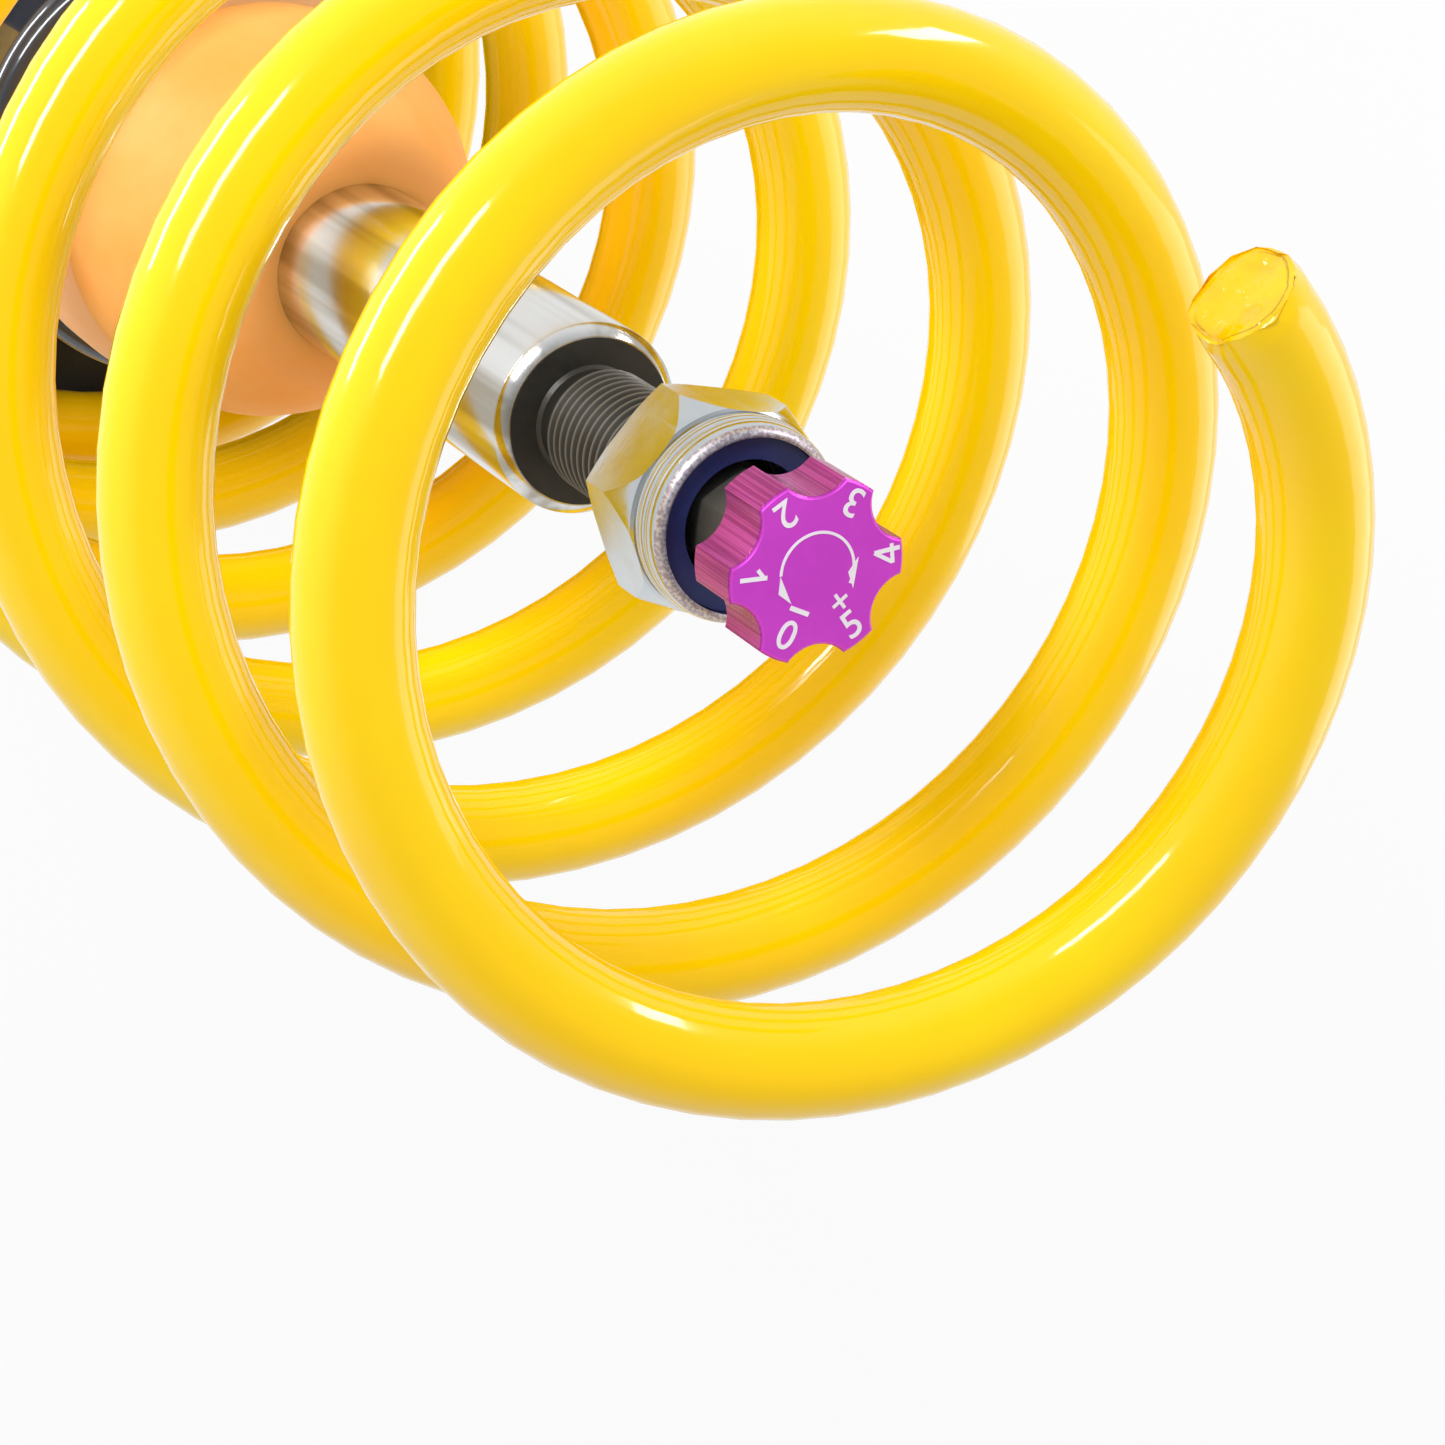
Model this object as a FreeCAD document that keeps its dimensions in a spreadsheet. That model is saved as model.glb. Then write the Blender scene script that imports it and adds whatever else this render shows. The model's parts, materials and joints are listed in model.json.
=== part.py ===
"""Adjustable coilover strut for a car's front axle, in millimetres, +Z up.

The origin is the centre of the strut tube's lower end, which the wheel knuckle clamps.
Every driving size is a cell of the sheet "Sizes". The strut's axis is the Z axis.
"""
import FreeCAD, Part
import math
import os
import Sketcher

V = FreeCAD.Vector
doc = FreeCAD.newDocument("CoiloverStrut")
sheet = doc.addObject("Spreadsheet::Sheet", "Sizes")

# name, size, what it is. Lengths in mm, angles in degrees.
SIZES = [
    ("press_gap", 0.05, "radial gap of pieces pressed or screwed together"),
    ("run_gap", 0.05, "radial running clearance of shafts and pistons"),
    ("soft_gap", 0.3, "gap beside rubber and foam pieces"),
    ("seat_gap", 0.1, "axial gap where one piece rests on another"),
    ("tube_od", 55, "strut tube, outside diameter of the clamped end"),
    ("tube_wall", 2.5, "strut tube wall"),
    ("tube_length", 330, "strut tube length"),
    ("clamp_length", 100, "clamped length below the stop bead"),
    ("bead_height", 5, "stop bead rolled into the tube"),
    ("bead_step", 2.2, "how far the stop bead stands out"),
    ("base_inset", 2, "base cap, depth inside the tube end"),
    ("base_thick", 4, "base cap plate"),
    ("base_dish_r", 15, "base cap, radius of the raised foot"),
    ("base_dish", 1.5, "base cap, height of the raised foot"),
    ("sleeve_wall", 2.45, "threaded sleeve, wall round the tube"),
    ("sleeve_rise", 75, "threaded sleeve, height of its lower end above the stop bead"),
    ("sleeve_inset", 14, "threaded sleeve, how far its upper end lies below the tube's"),
    ("sleeve_flange", 2.5, "threaded sleeve, collar at its lower end"),
    ("sleeve_flange_h", 6, "threaded sleeve, collar height"),
    ("weld_leg", 3.5, "leg of the weld bead under the sleeve"),
    ("cap_wall", 2.95, "strut cap, wall round the tube"),
    ("cap_plate", 4, "strut cap, top plate"),
    ("cap_round", 3, "strut cap, rounded top edge"),
    ("cap_hole_r", 14, "strut cap, hole round the rod wiper"),
    ("link_plate", 5, "link bracket plate"),
    ("link_reach", 46, "link bracket hole, distance from the strut's axis"),
    ("link_drop", 39, "link bracket hole, how far it lies below the threaded sleeve"),
    ("link_hole_r", 5.1, "link bracket hole for an M10 stud"),
    ("link_eye_r", 12, "link bracket, radius round its hole"),
    ("link_foot", 52, "link bracket, height of its welded foot"),
    ("link_flange", 12, "link bracket, depth of its turned edges"),
    ("hose_drop", 10, "hose bracket, how far it lies below the threaded sleeve"),
    ("hose_plate", 3, "hose bracket plate"),
    ("hose_reach", 47, "hose bracket hole, distance from the strut's axis"),
    ("hose_hole_r", 8, "hose bracket hole"),
    ("hose_eye_r", 13, "hose bracket, radius round its hole"),
    ("hose_slot", 7, "hose bracket, width of the mouth"),
    ("bore_d", 36, "working cylinder bore and piston diameter"),
    ("cylinder_wall", 1.5, "working cylinder wall"),
    ("cylinder_inset", 30, "working cylinder, how far its upper end lies below the tube's"),
    ("valve_foot", 5, "base valve, height of its foot"),
    ("valve_plate", 5, "base valve, thickness of its seat plate"),
    ("valve_spigot", 8, "base valve, length inside the cylinder"),
    ("valve_pin_r", 4, "base valve rivet radius"),
    ("valve_head_r", 7, "base valve rivet, head radius"),
    ("valve_head_h", 2.5, "base valve rivet, head height"),
    ("port_r", 2, "oil port radius"),
    ("port_circle", 11, "radius of the circle of oil ports"),
    ("port_count", 6, "number of oil ports"),
    ("shim_thick", 0.4, "one valve shim"),
    ("shim_r", 14.5, "valve shim radius"),
    ("shim_count", 3, "shims in each stack"),
    ("guide_spigot", 12, "rod guide, length inside the cylinder"),
    ("guide_flange", 12, "rod guide, length inside the tube"),
    ("bush_wall", 1.2, "rod bush wall"),
    ("seal_r", 19, "rod seal, outside radius"),
    ("seal_height", 6, "rod seal height"),
    ("gland_height", 9, "gland ring height"),
    ("gland_hole_r", 15, "gland ring, inside radius"),
    ("spanner_hole_r", 2, "gland ring, spanner hole radius"),
    ("spanner_circle", 20, "gland ring, spanner hole circle radius"),
    ("rod_d", 22, "piston rod diameter"),
    ("rod_exposed", 125.9, "rod above the strut cap, up to its shoulder"),
    ("rod_chamfer", 1.3, "chamfer round the rod's shoulder"),
    ("spigot_d", 14, "threaded spigot on top of the rod, M14 x 1.5"),
    ("spigot_length", 33, "threaded spigot, from the shoulder to its end"),
    ("relief_depth", 0.9, "thread relief above the shoulder, radial"),
    ("relief_height", 2.6, "thread relief above the shoulder, axial"),
    ("tip_af", 10, "hexagon tip of the rod, across flats"),
    ("tip_length", 10, "hexagon tip length"),
    ("tip_bevel", 0.9, "hexagon tip, bevel of its corners"),
    ("shaft_d", 5.9, "adjuster shaft diameter"),
    ("rebound_gap", 0.6, "rebound buffer, gap under the rod guide at rest"),
    ("stud_length", 26, "stud under the rod, length"),
    ("piston_stud_d", 12, "stud under the rod that carries the piston"),
    ("piston_height", 14, "piston height"),
    ("band_depth", 1.2, "piston band thickness"),
    ("band_height", 8, "piston band height"),
    ("piston_nut_af", 19, "piston nut, across flats"),
    ("piston_nut_h", 8, "piston nut height"),
    ("stop_rise", 14, "rebound stop, height above the stud"),
    ("stop_height", 6, "rebound stop collar height"),
    ("stop_r", 15.5, "rebound stop collar radius"),
    ("buffer_height", 5.4, "rebound buffer height"),
    ("ring_thick", 1.8, "snap ring thickness"),
    ("ring_depth", 1, "snap ring groove depth"),
    ("ring_wall", 2.6, "snap ring radial width"),
    ("orifice_r", 1.5, "needle orifice radius"),
    ("needle_seat_rise", 19, "needle seat, height above the rod's lower end"),
    ("needle_lift", 1.5, "needle tip above its seat at rest"),
    ("needle_stem", 14, "needle stem length"),
    ("needle_guide", 13, "needle guide length"),
    ("needle_socket", 7, "depth of the socket for the shaft's stub"),
    ("needle_play", 2, "space between the needle and the shaft's step"),
    ("stub_r", 1.5, "adjuster shaft, radius of the stub in the needle"),
    ("stem_r", 2, "needle stem radius"),
    ("needle_point_r", 0.6, "needle, radius of its point"),
    ("needle_cone", 2.5, "needle, length of its cone"),
    ("cross_hole_r", 1.2, "cross hole above the piston"),
    ("cross_hole_rise", 4.5, "cross hole, height above the stud"),
    ("nut_af", 22, "top nut, across flats"),
    ("nut_rise", 25, "top nut, height above the shoulder"),
    ("nut_height", 14, "top nut height"),
    ("nut_thread", 8.4, "top nut, threaded length below the insert"),
    ("nut_corner", 5, "top nut, height where the corners start to turn in"),
    ("nut_cone_h", 9.6, "top nut, height where the turned part starts"),
    ("nut_cone_r", 11.1, "top nut, radius of the turned part"),
    ("nut_rim_r", 10.7, "top nut, radius of the rim"),
    ("nut_rim_wall", 1.2, "top nut, rim wall round the insert"),
    ("nut_rim_round", 0.8, "top nut, bevel of the rim"),
    ("nut_bevel", 1.2, "top nut, bevel under the corners"),
    ("nut_turn", 21, "top nut, how far it is turned"),
    ("insert_hole_r", 6.95, "nylon insert, inside radius"),
    ("insert_height", 4.6, "nylon insert height"),
    ("knob_r", 9.8, "adjuster knob, radius over the lobes"),
    ("knob_rise", 46, "adjuster knob, height above the shoulder"),
    ("knob_height", 7.7, "adjuster knob height"),
    ("knob_lobes", 6, "adjuster knob, number of lobes"),
    ("scallop_r", 4.3, "adjuster knob, scallop radius"),
    ("scallop_centre", 12.15, "adjuster knob, scallop centre from the axis"),
    ("knob_turn", -55.4, "adjuster knob, direction of its first scallop"),
    ("knob_edge", 0.3, "adjuster knob, edge chamfer"),
    ("knob_bore", 5, "adjuster knob, depth of the bore for the shaft"),
    ("bump_length", 58.6, "bump stop length"),
    ("bump_foot_r", 28.3, "bump stop, radius of its foot"),
    ("bump_foot_h", 15.5, "bump stop, height of its foot"),
    ("bump_groove_r", 25.6, "bump stop, radius in its groove"),
    ("bump_belly_r", 26.8, "bump stop, radius of its belly"),
    ("bump_belly_h", 24.5, "bump stop, height of its belly"),
    ("bump_cone_h", 31, "bump stop, height where the nose starts"),
    ("bump_groove_h", 19.5, "bump stop, height of its groove"),
    ("bump_nose_r", 13.4, "bump stop, radius of its nose"),
    ("bump_round", 1.4, "bump stop, rounding of its nose"),
    ("foot_round", 4, "bump stop, rounding of its foot"),
    ("belly_round", 9, "bump stop, rounding of its belly"),
    ("seat_drop", 43.5, "spring seat at rest, how far it lies below the tube's upper end"),
    ("pad_thick", 3, "spring pad thickness"),
    ("pad_out_r", 54, "spring pad, outside radius"),
    ("pad_inset", 0.9, "spring pad, how far its hole is wider than the perch's"),
    ("pad_rim_r", 35.8, "spring pad, radius of its centring rim"),
    ("pad_rim_h", 3, "spring pad, height of its centring rim"),
    ("perch_plate", 6, "perch flange thickness"),
    ("perch_lip", 3, "perch lip width round the pad"),
    ("perch_lip_h", 1.6, "perch lip height"),
    ("hub_wall", 7.9, "perch hub, wall round its insert"),
    ("hub_height", 34, "perch hub height with the flange"),
    ("insert_wall", 3, "threaded insert wall"),
    ("notch_width", 9, "spanner notch width"),
    ("notch_height", 11, "spanner notch height"),
    ("notch_depth", 3, "spanner notch depth"),
    ("notch_count", 6, "number of spanner notches"),
    ("rib_count", 12, "number of ribs under the perch flange"),
    ("rib_thick", 3.5, "perch rib thickness"),
    ("rib_height", 15, "perch rib height below the flange"),
    ("lock_r", 3, "lock screw radius"),
    ("lock_socket_af", 3, "lock screw socket, across flats"),
    ("lock_low", 8, "lock screw height above the hub's lower face"),
    ("wire_d", 12, "spring wire diameter"),
    ("coil_r", 56.75, "spring coil, mean radius of the body"),
    ("top_draw", 12.72, "how far the top turn is drawn in"),
    ("top_turns", 0.93, "turns over which the top opens out"),
    ("tip_flare", 1.92, "how far the wire's end stands out of that"),
    ("tip_turns", 0.15, "turns over which the wire's end stands out"),
    ("end_draw", 15, "how far the bottom turn is drawn in"),
    ("tip_lap", 0.0075, "turns by which the upper end runs on past its zero"),
    ("end_turns", 0.45, "turns over which the bottom is drawn in"),
    ("pitch_top", 31.8, "spring pitch at its top end"),
    ("pitch_mid", 45.2, "largest spring pitch"),
    ("mid_turn", 3.19, "turns from the top to the largest pitch"),
    ("close_turn", 5.23, "turns from the top to where the pitch falls"),
    ("flat_turn", 6.29, "turns from the top to the flat end turn"),
    ("turns", 6.73, "spring turns in all"),
    ("tip_angle", 135.6, "direction of the spring's upper end"),
    ("lean_x", 2.8, "how far the upper end leans along X"),
    ("lean_y", 3.1, "how far the upper end leans along Y"),
    ("bow", 2.6, "how far the spring's middle bows along Y"),
    ("tip_round", 1.6, "rounding of the spring's cut ends"),
]


class Dim:
    """A size: its number, and the sheet expression that gives it."""

    def __init__(self, number, text):
        self.number = number
        self.text = text

    @staticmethod
    def of(other):
        return other if isinstance(other, Dim) else Dim(other, repr(other))

    def __add__(self, other):
        other = Dim.of(other)
        return Dim(self.number + other.number, f"({self.text} + {other.text})")

    def __sub__(self, other):
        other = Dim.of(other)
        return Dim(self.number - other.number, f"({self.text} - {other.text})")

    def __mul__(self, other):
        other = Dim.of(other)
        return Dim(self.number * other.number, f"({self.text} * {other.text})")

    def __truediv__(self, other):
        other = Dim.of(other)
        return Dim(self.number / other.number, f"({self.text} / {other.text})")

    def __neg__(self):
        return Dim(-self.number, f"(-1 * {self.text})")


for row, (name, size, note) in enumerate(SIZES, start=1):
    sheet.set(f"A{row}", name)
    sheet.set(f"B{row}", str(size))
    sheet.set(f"C{row}", note)
    sheet.setAlias(f"B{row}", name)
doc.recompute()


def cell(name):
    return Dim(float(getattr(sheet, name)), f"Sizes.{name}")


ZERO = Dim(0.0, "0")
NODES = []


def new_body(label):
    body = doc.addObject("PartDesign::Body", label)
    body.Label = label
    NODES.append(body)
    return body


def origin_plane(body, role):
    return next(o for o in body.Origin.OriginFeatures if o.Role == role)


def new_sketch(body, role, height=None):
    """A sketch on an origin plane of the body, raised along its normal."""
    sketch = body.newObject("Sketcher::SketchObject", "Sketch")
    sketch.AttachmentSupport = [(origin_plane(body, role), "")]
    sketch.MapMode = "FlatFace"
    if height is not None:
        sketch.setExpression(".AttachmentOffset.Base.z", height.text)
    return sketch


def place(sketch, geo, point, x, y):
    """Ties one point of a sketch to the origin by its two coordinates."""
    for kind, axis, size in (("DistanceX", -2, x), ("DistanceY", -1, y)):
        size = Dim.of(size)
        if abs(size.number) < 1e-9:
            sketch.addConstraint(Sketcher.Constraint("PointOnObject", geo, point, axis))
            continue
        ends = (-1, 1, geo, point) if size.number > 0 else (geo, point, -1, 1)
        size = size if size.number > 0 else -size
        index = sketch.addConstraint(Sketcher.Constraint(kind, *ends, size.number))
        sketch.setExpression(f"Constraints[{index}]", size.text)


def draw_outline(sketch, points):
    """A closed outline of straight lines through points given by their sizes."""
    spots = [V(Dim.of(x).number, Dim.of(y).number, 0) for x, y in points]
    first = sketch.GeometryCount
    count = len(spots)
    for i in range(count):
        sketch.addGeometry(Part.LineSegment(spots[i], spots[(i + 1) % count]), False)
    for i in range(count):
        after = first + (i + 1) % count
        sketch.addConstraint(Sketcher.Constraint("Coincident", first + i, 2, after, 1))
    for i, (x, y) in enumerate(points):
        place(sketch, first + i, 1, x, y)


def draw_circle(sketch, x, y, radius):
    centre = V(Dim.of(x).number, Dim.of(y).number, 0)
    geo = sketch.addGeometry(Part.Circle(centre, V(0, 0, 1), radius.number), False)
    index = sketch.addConstraint(Sketcher.Constraint("Radius", geo, radius.number))
    sketch.setExpression(f"Constraints[{index}]", radius.text)
    place(sketch, geo, 3, x, y)


def revolve(body, points, kind="PartDesign::Revolution"):
    """Turns an outline of (radius, height) points about the strut's axis."""
    sketch = new_sketch(body, "XZ_Plane")
    draw_outline(sketch, points)
    turned = body.newObject(kind, kind.split("::")[1])
    turned.Profile = sketch
    turned.ReferenceAxis = (sketch, ["V_Axis"])
    turned.Angle = 360
    return turned


def pad(body, sketch, length, centred=False):
    grown = body.newObject("PartDesign::Pad", "Pad")
    grown.Profile = sketch
    grown.setExpression("Length", length.text)
    grown.Midplane = centred
    return grown


def pocket(body, sketch, length=None, centred=False, reverse=False):
    cut = body.newObject("PartDesign::Pocket", "Pocket")
    cut.Profile = sketch
    if length is None:
        cut.Type = "ThroughAll"
    else:
        cut.setExpression("Length", length.text)
    cut.Midplane = centred
    cut.Reversed = reverse
    return cut


def repeat(body, features, count):
    """Repeats cut or added features round the strut's axis."""
    pattern = body.newObject("PartDesign::PolarPattern", "PolarPattern")
    pattern.Originals = features
    pattern.Axis = (origin_plane(body, "Z_Axis"), [""])
    pattern.Angle = 360
    pattern.setExpression("Occurrences", count.text)
    body.Tip = pattern
    return pattern


def ring(label, inside, outside, low, high):
    """A plain ring between two radii and two heights."""
    body = new_body(label)
    revolve(body, [(inside, low), (outside, low), (outside, high), (inside, high)])
    return body


def hexagon(body, across, low, height):
    """A hexagonal block on the strut's axis."""
    block = body.newObject("PartDesign::AdditivePrism", "Hexagon")
    block.AttachmentSupport = [(origin_plane(body, "XY_Plane"), "")]
    block.MapMode = "FlatFace"
    block.Polygon = 6
    block.setExpression("Circumradius", (across / 2 / COS_30).text)
    block.setExpression("Height", height.text)
    block.setExpression(".AttachmentOffset.Base.z", low.text)
    return block


def turn_body(body, angle):
    """Turns a finished body about the strut's axis."""
    body.Placement = FreeCAD.Placement(V(), FreeCAD.Rotation(V(0, 0, 1), angle.number))
    body.setExpression(".Placement.Rotation.Angle", f"{angle.text} * 1 deg")


def circle_edges(feature, radius, height):
    """Names of the round edges of a feature at a radius and a height."""
    doc.recompute()
    return [
        f"Edge{i}"
        for i, edge in enumerate(feature.Shape.Edges, start=1)
        if isinstance(edge.Curve, Part.Circle)
        and abs(edge.Curve.Radius - radius.number) < 1e-4
        and abs(edge.Curve.Center.z - height.number) < 1e-4
    ]


def round_edges(body, feature, edges, radius):
    fillet = body.newObject("PartDesign::Fillet", "Fillet")
    fillet.Base = (feature, edges)
    fillet.setExpression("Radius", radius.text)
    return fillet


def disc_stack(label, inside, outside, low, thick, count):
    """Thin valve shims, one on the other, as separate solids of one node."""
    discs = []
    for i in range(int(count.number)):
        height = low + thick * i
        whole = doc.addObject("Part::Cylinder", "Disc")
        hole = doc.addObject("Part::Cylinder", "DiscHole")
        for solid, radius in ((whole, outside), (hole, inside)):
            solid.setExpression("Radius", radius.text)
            solid.setExpression("Height", thick.text)
            solid.setExpression(".Placement.Base.z", height.text)
        disc = doc.addObject("Part::Cut", "Shim")
        disc.Base = whole
        disc.Tool = hole
        discs.append(disc)
    stack = doc.addObject("Part::Compound", label)
    stack.Links = discs
    stack.Label = label
    NODES.append(stack)
    return stack


COS_30 = Dim(math.cos(math.pi / 6), "cos(30 deg)")

# Sizes that follow from the sheet's own.
press = cell("press_gap")
run = cell("run_gap")
soft = cell("soft_gap")
seat_gap = cell("seat_gap")
tube_r = cell("tube_od") / 2
tube_bore = tube_r - cell("tube_wall")
sleeve_in = tube_r + press
thread_r = sleeve_in + cell("sleeve_wall")
rod_r = cell("rod_d") / 2
rod_fit = rod_r + run
bore_r = cell("bore_d") / 2
cylinder_r = bore_r + cell("cylinder_wall")
spigot_r = cell("spigot_d") / 2
stud_r = cell("piston_stud_d") / 2
shaft_r = cell("shaft_d") / 2
cap_seat = cell("tube_length") + seat_gap
cap_top = cap_seat + cell("cap_plate")
shoulder = cap_top + cell("rod_exposed")
sleeve_top = cell("tube_length") - cell("sleeve_inset")
cylinder_top = cell("tube_length") - cell("cylinder_inset")
spring_seat = cell("tube_length") - cell("seat_drop")
guide_low = cylinder_top - cell("guide_spigot")
stop_top = guide_low - cell("rebound_gap") - cell("buffer_height")
stop_low = stop_top - cell("stop_height")
stud_top = stop_low - cell("stop_rise")
rod_low = stud_top - cell("stud_length")
sleeve_low = cell("clamp_length") + cell("bead_height") + cell("sleeve_rise")
hub_in = thread_r + run + cell("insert_wall") + press
hub_r = hub_in + cell("hub_wall")

# Strut tube: plain clamped end, a rolled stop bead, then the body of the strut.
tube = new_body("strut_tube")
bead_low = cell("clamp_length")
bead_top = bead_low + cell("bead_height")
bead_r = tube_r + cell("bead_step")
revolve(tube, [
    (tube_bore, ZERO), (tube_r, ZERO), (tube_r, bead_low), (bead_r, bead_low + cell("bead_step")),
    (bead_r, bead_top), (tube_r, bead_top + cell("bead_step")), (tube_r, cell("tube_length")),
    (tube_bore, cell("tube_length")),
])

# Base cap, dished inwards, welded into the tube's lower end.
base = new_body("base_cap")
base_low = cell("base_inset")
base_top = base_low + cell("base_thick")
dish_r = cell("base_dish_r")
dish = cell("base_dish")
revolve(base, [
    (ZERO, base_low + dish), (dish_r - dish, base_low + dish), (dish_r, base_low),
    (tube_bore - press, base_low), (tube_bore - press, base_top), (dish_r, base_top),
    (dish_r - dish, base_top + dish), (ZERO, base_top + dish),
])

# Threaded sleeve for the spring perch, with its lower collar and the weld under it.
sleeve = new_body("thread_sleeve")
flange_r = thread_r + cell("sleeve_flange")
flange_top = sleeve_low + cell("sleeve_flange_h")
revolve(sleeve, [
    (sleeve_in, sleeve_low), (flange_r, sleeve_low), (flange_r, flange_top),
    (thread_r, flange_top), (thread_r, sleeve_top), (sleeve_in, sleeve_top),
])
weld = new_body("sleeve_weld")
weld_leg = cell("weld_leg")
revolve(weld, [
    (sleeve_in, sleeve_low - weld_leg), (sleeve_in + weld_leg, sleeve_low), (sleeve_in, sleeve_low),
])

# Link bracket: a pressed plate with a round eye and turned edges.
link = new_body("link_bracket")
link_y = cell("link_reach")
link_z = sleeve_low - cell("link_drop")
eye_r = cell("link_eye_r")
foot_half = cell("link_foot") / 2
plate_half = cell("link_plate") / 2
link_sketch = new_sketch(link, "YZ_Plane")
draw_outline(link_sketch, [
    (sleeve_in, link_z - foot_half), (link_y, link_z - eye_r),
    (link_y, link_z + eye_r), (sleeve_in, link_z + foot_half),
])
pad(link, link_sketch, cell("link_plate"), centred=True)
eye_sketch = new_sketch(link, "YZ_Plane")
draw_circle(eye_sketch, link_y, link_z, eye_r)
pad(link, eye_sketch, cell("link_plate"), centred=True)
edge_share = 0.55
edge_y = sleeve_in + (link_y - sleeve_in) * edge_share
edge_z = foot_half + (eye_r - foot_half) * edge_share
for side in (1, -1):
    edge_sketch = new_sketch(link, "YZ_Plane", -plate_half)
    draw_outline(edge_sketch, [
        (sleeve_in, link_z + foot_half * side), (edge_y, link_z + edge_z * side),
        (edge_y, link_z + (edge_z - plate_half) * side),
        (sleeve_in, link_z + (foot_half - plate_half) * side),
    ])
    pad(link, edge_sketch, cell("link_flange"))
link_hole = new_sketch(link, "YZ_Plane")
draw_circle(link_hole, link_y, link_z, cell("link_hole_r"))
pocket(link, link_hole, centred=True)

# Hose bracket: a flat plate with an open-mouthed round seat, coped to the tube.
hose = new_body("hose_bracket")
hose_x = cell("hose_reach")
hose_r = cell("hose_eye_r")
hose_z = sleeve_low - cell("hose_drop")
mouth = cell("hose_slot") / 2
hose_sketch = new_sketch(hose, "XY_Plane", hose_z)
draw_outline(hose_sketch, [
    (tube_bore, -hose_r), (hose_x, -hose_r), (hose_x, hose_r), (tube_bore, hose_r),
])
pad(hose, hose_sketch, cell("hose_plate"))
hose_eye = new_sketch(hose, "XY_Plane", hose_z)
draw_circle(hose_eye, hose_x, ZERO, hose_r)
pad(hose, hose_eye, cell("hose_plate"))
for x, radius in ((hose_x, cell("hose_hole_r")), (ZERO, sleeve_in)):
    round_sketch = new_sketch(hose, "XY_Plane", hose_z)
    draw_circle(round_sketch, x, ZERO, radius)
    pocket(hose, round_sketch, reverse=True)
mouth_sketch = new_sketch(hose, "XY_Plane", hose_z)
draw_outline(mouth_sketch, [
    (hose_x, -mouth), (hose_x + hose_r + mouth, -mouth), (hose_x + hose_r + mouth, mouth),
    (hose_x, mouth),
])
pocket(hose, mouth_sketch, reverse=True)

# Strut cap over the tube's end, with the rod wiper held under its plate.
cap = new_body("strut_cap")
cap_r = sleeve_in + cell("cap_wall")
wiper_hole = cell("cap_hole_r")
cap_turned = revolve(cap, [
    (sleeve_in, sleeve_top + seat_gap), (cap_r, sleeve_top + seat_gap),
    (cap_r, cap_top), (wiper_hole, cap_top), (wiper_hole, cap_seat), (sleeve_in, cap_seat),
])
round_edges(cap, cap_turned, circle_edges(cap_turned, cap_r, cap_top), cell("cap_round"))
wiper = new_body("rod_wiper")
wiper_r = wiper_hole - press
wiper_flange = wiper_hole + cell("cap_round")
revolve(wiper, [
    (rod_fit, cap_seat - cell("seal_height")), (wiper_flange, cap_seat - cell("seal_height")),
    (wiper_flange, cap_seat - seat_gap), (wiper_r, cap_seat - seat_gap), (wiper_r, cap_top),
    (rod_fit, cap_top),
])

# Base valve: foot with oil ways, seat plate with ports, shims and the rivet.
valve = new_body("base_valve")
valve_low = base_top + seat_gap
plate_low = valve_low + cell("valve_foot")
plate_top = plate_low + cell("valve_plate")
valve_top = plate_top + cell("valve_spigot")
foot_in = cylinder_r - cell("cylinder_wall") * 2
pin_hole = cell("valve_pin_r") + press
revolve(valve, [
    (pin_hole, plate_low), (foot_in, plate_low), (foot_in, valve_low), (cylinder_r, valve_low),
    (cylinder_r, plate_top), (bore_r - press, plate_top), (bore_r - press, valve_top),
    (pin_hole, valve_top),
])
way_sketch = new_sketch(valve, "XZ_Plane")
way = cell("port_r") * 2
draw_outline(way_sketch, [
    (-way, valve_low), (way, valve_low), (way, plate_low - cell("base_dish")),
    (-way, plate_low - cell("base_dish")),
])
pocket(valve, way_sketch, centred=True)
port_sketch = new_sketch(valve, "XY_Plane", valve_low)
draw_circle(port_sketch, cell("port_circle"), ZERO, cell("port_r"))
port_cut = pocket(valve, port_sketch, reverse=True)
repeat(valve, [port_cut], cell("port_count"))
shim = cell("shim_thick")
shims = cell("shim_count")
stack = shim * shims
disc_stack("base_shims", pin_hole, cell("shim_r"), valve_top, shim, shims)
rivet = new_body("base_rivet")
head_r = cell("valve_head_r")
head_h = cell("valve_head_h")
revolve(rivet, [
    (ZERO, plate_low - head_h), (head_r, plate_low - head_h), (head_r, plate_low),
    (cell("valve_pin_r"), plate_low), (cell("valve_pin_r"), valve_top + stack),
    (head_r, valve_top + stack), (head_r, valve_top + stack + head_h),
    (ZERO, valve_top + stack + head_h),
])
ring("working_cylinder", bore_r, cylinder_r, plate_top, cylinder_top)

# Rod guide with its bush, the seal above it and the gland ring that holds both.
guide = new_body("rod_guide")
guide_top = cylinder_top + cell("guide_flange")
bush_r = rod_fit + cell("bush_wall")
seal_low = guide_top - cell("seal_height")
seal_seat = cell("seal_r") + press
revolve(guide, [
    (bush_r + press, guide_low), (bore_r - press, guide_low),
    (bore_r - press, cylinder_top), (tube_bore - press, cylinder_top),
    (tube_bore - press, guide_top), (seal_seat, guide_top), (seal_seat, seal_low),
    (bush_r + press, seal_low),
])
ring("guide_bush", rod_fit, bush_r, guide_low, seal_low - seat_gap)
seal = new_body("rod_seal")
seal_mid = (rod_fit + cell("seal_r")) / 2
seal_web = seal_low + cell("seal_height") / 2
revolve(seal, [
    (rod_fit, seal_low), (cell("seal_r"), seal_low), (cell("seal_r"), guide_top),
    (seal_mid, guide_top), (seal_mid, seal_web), (rod_fit + cell("bush_wall"), seal_web),
    (rod_fit, guide_top - seat_gap),
])
gland = new_body("gland_ring")
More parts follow.
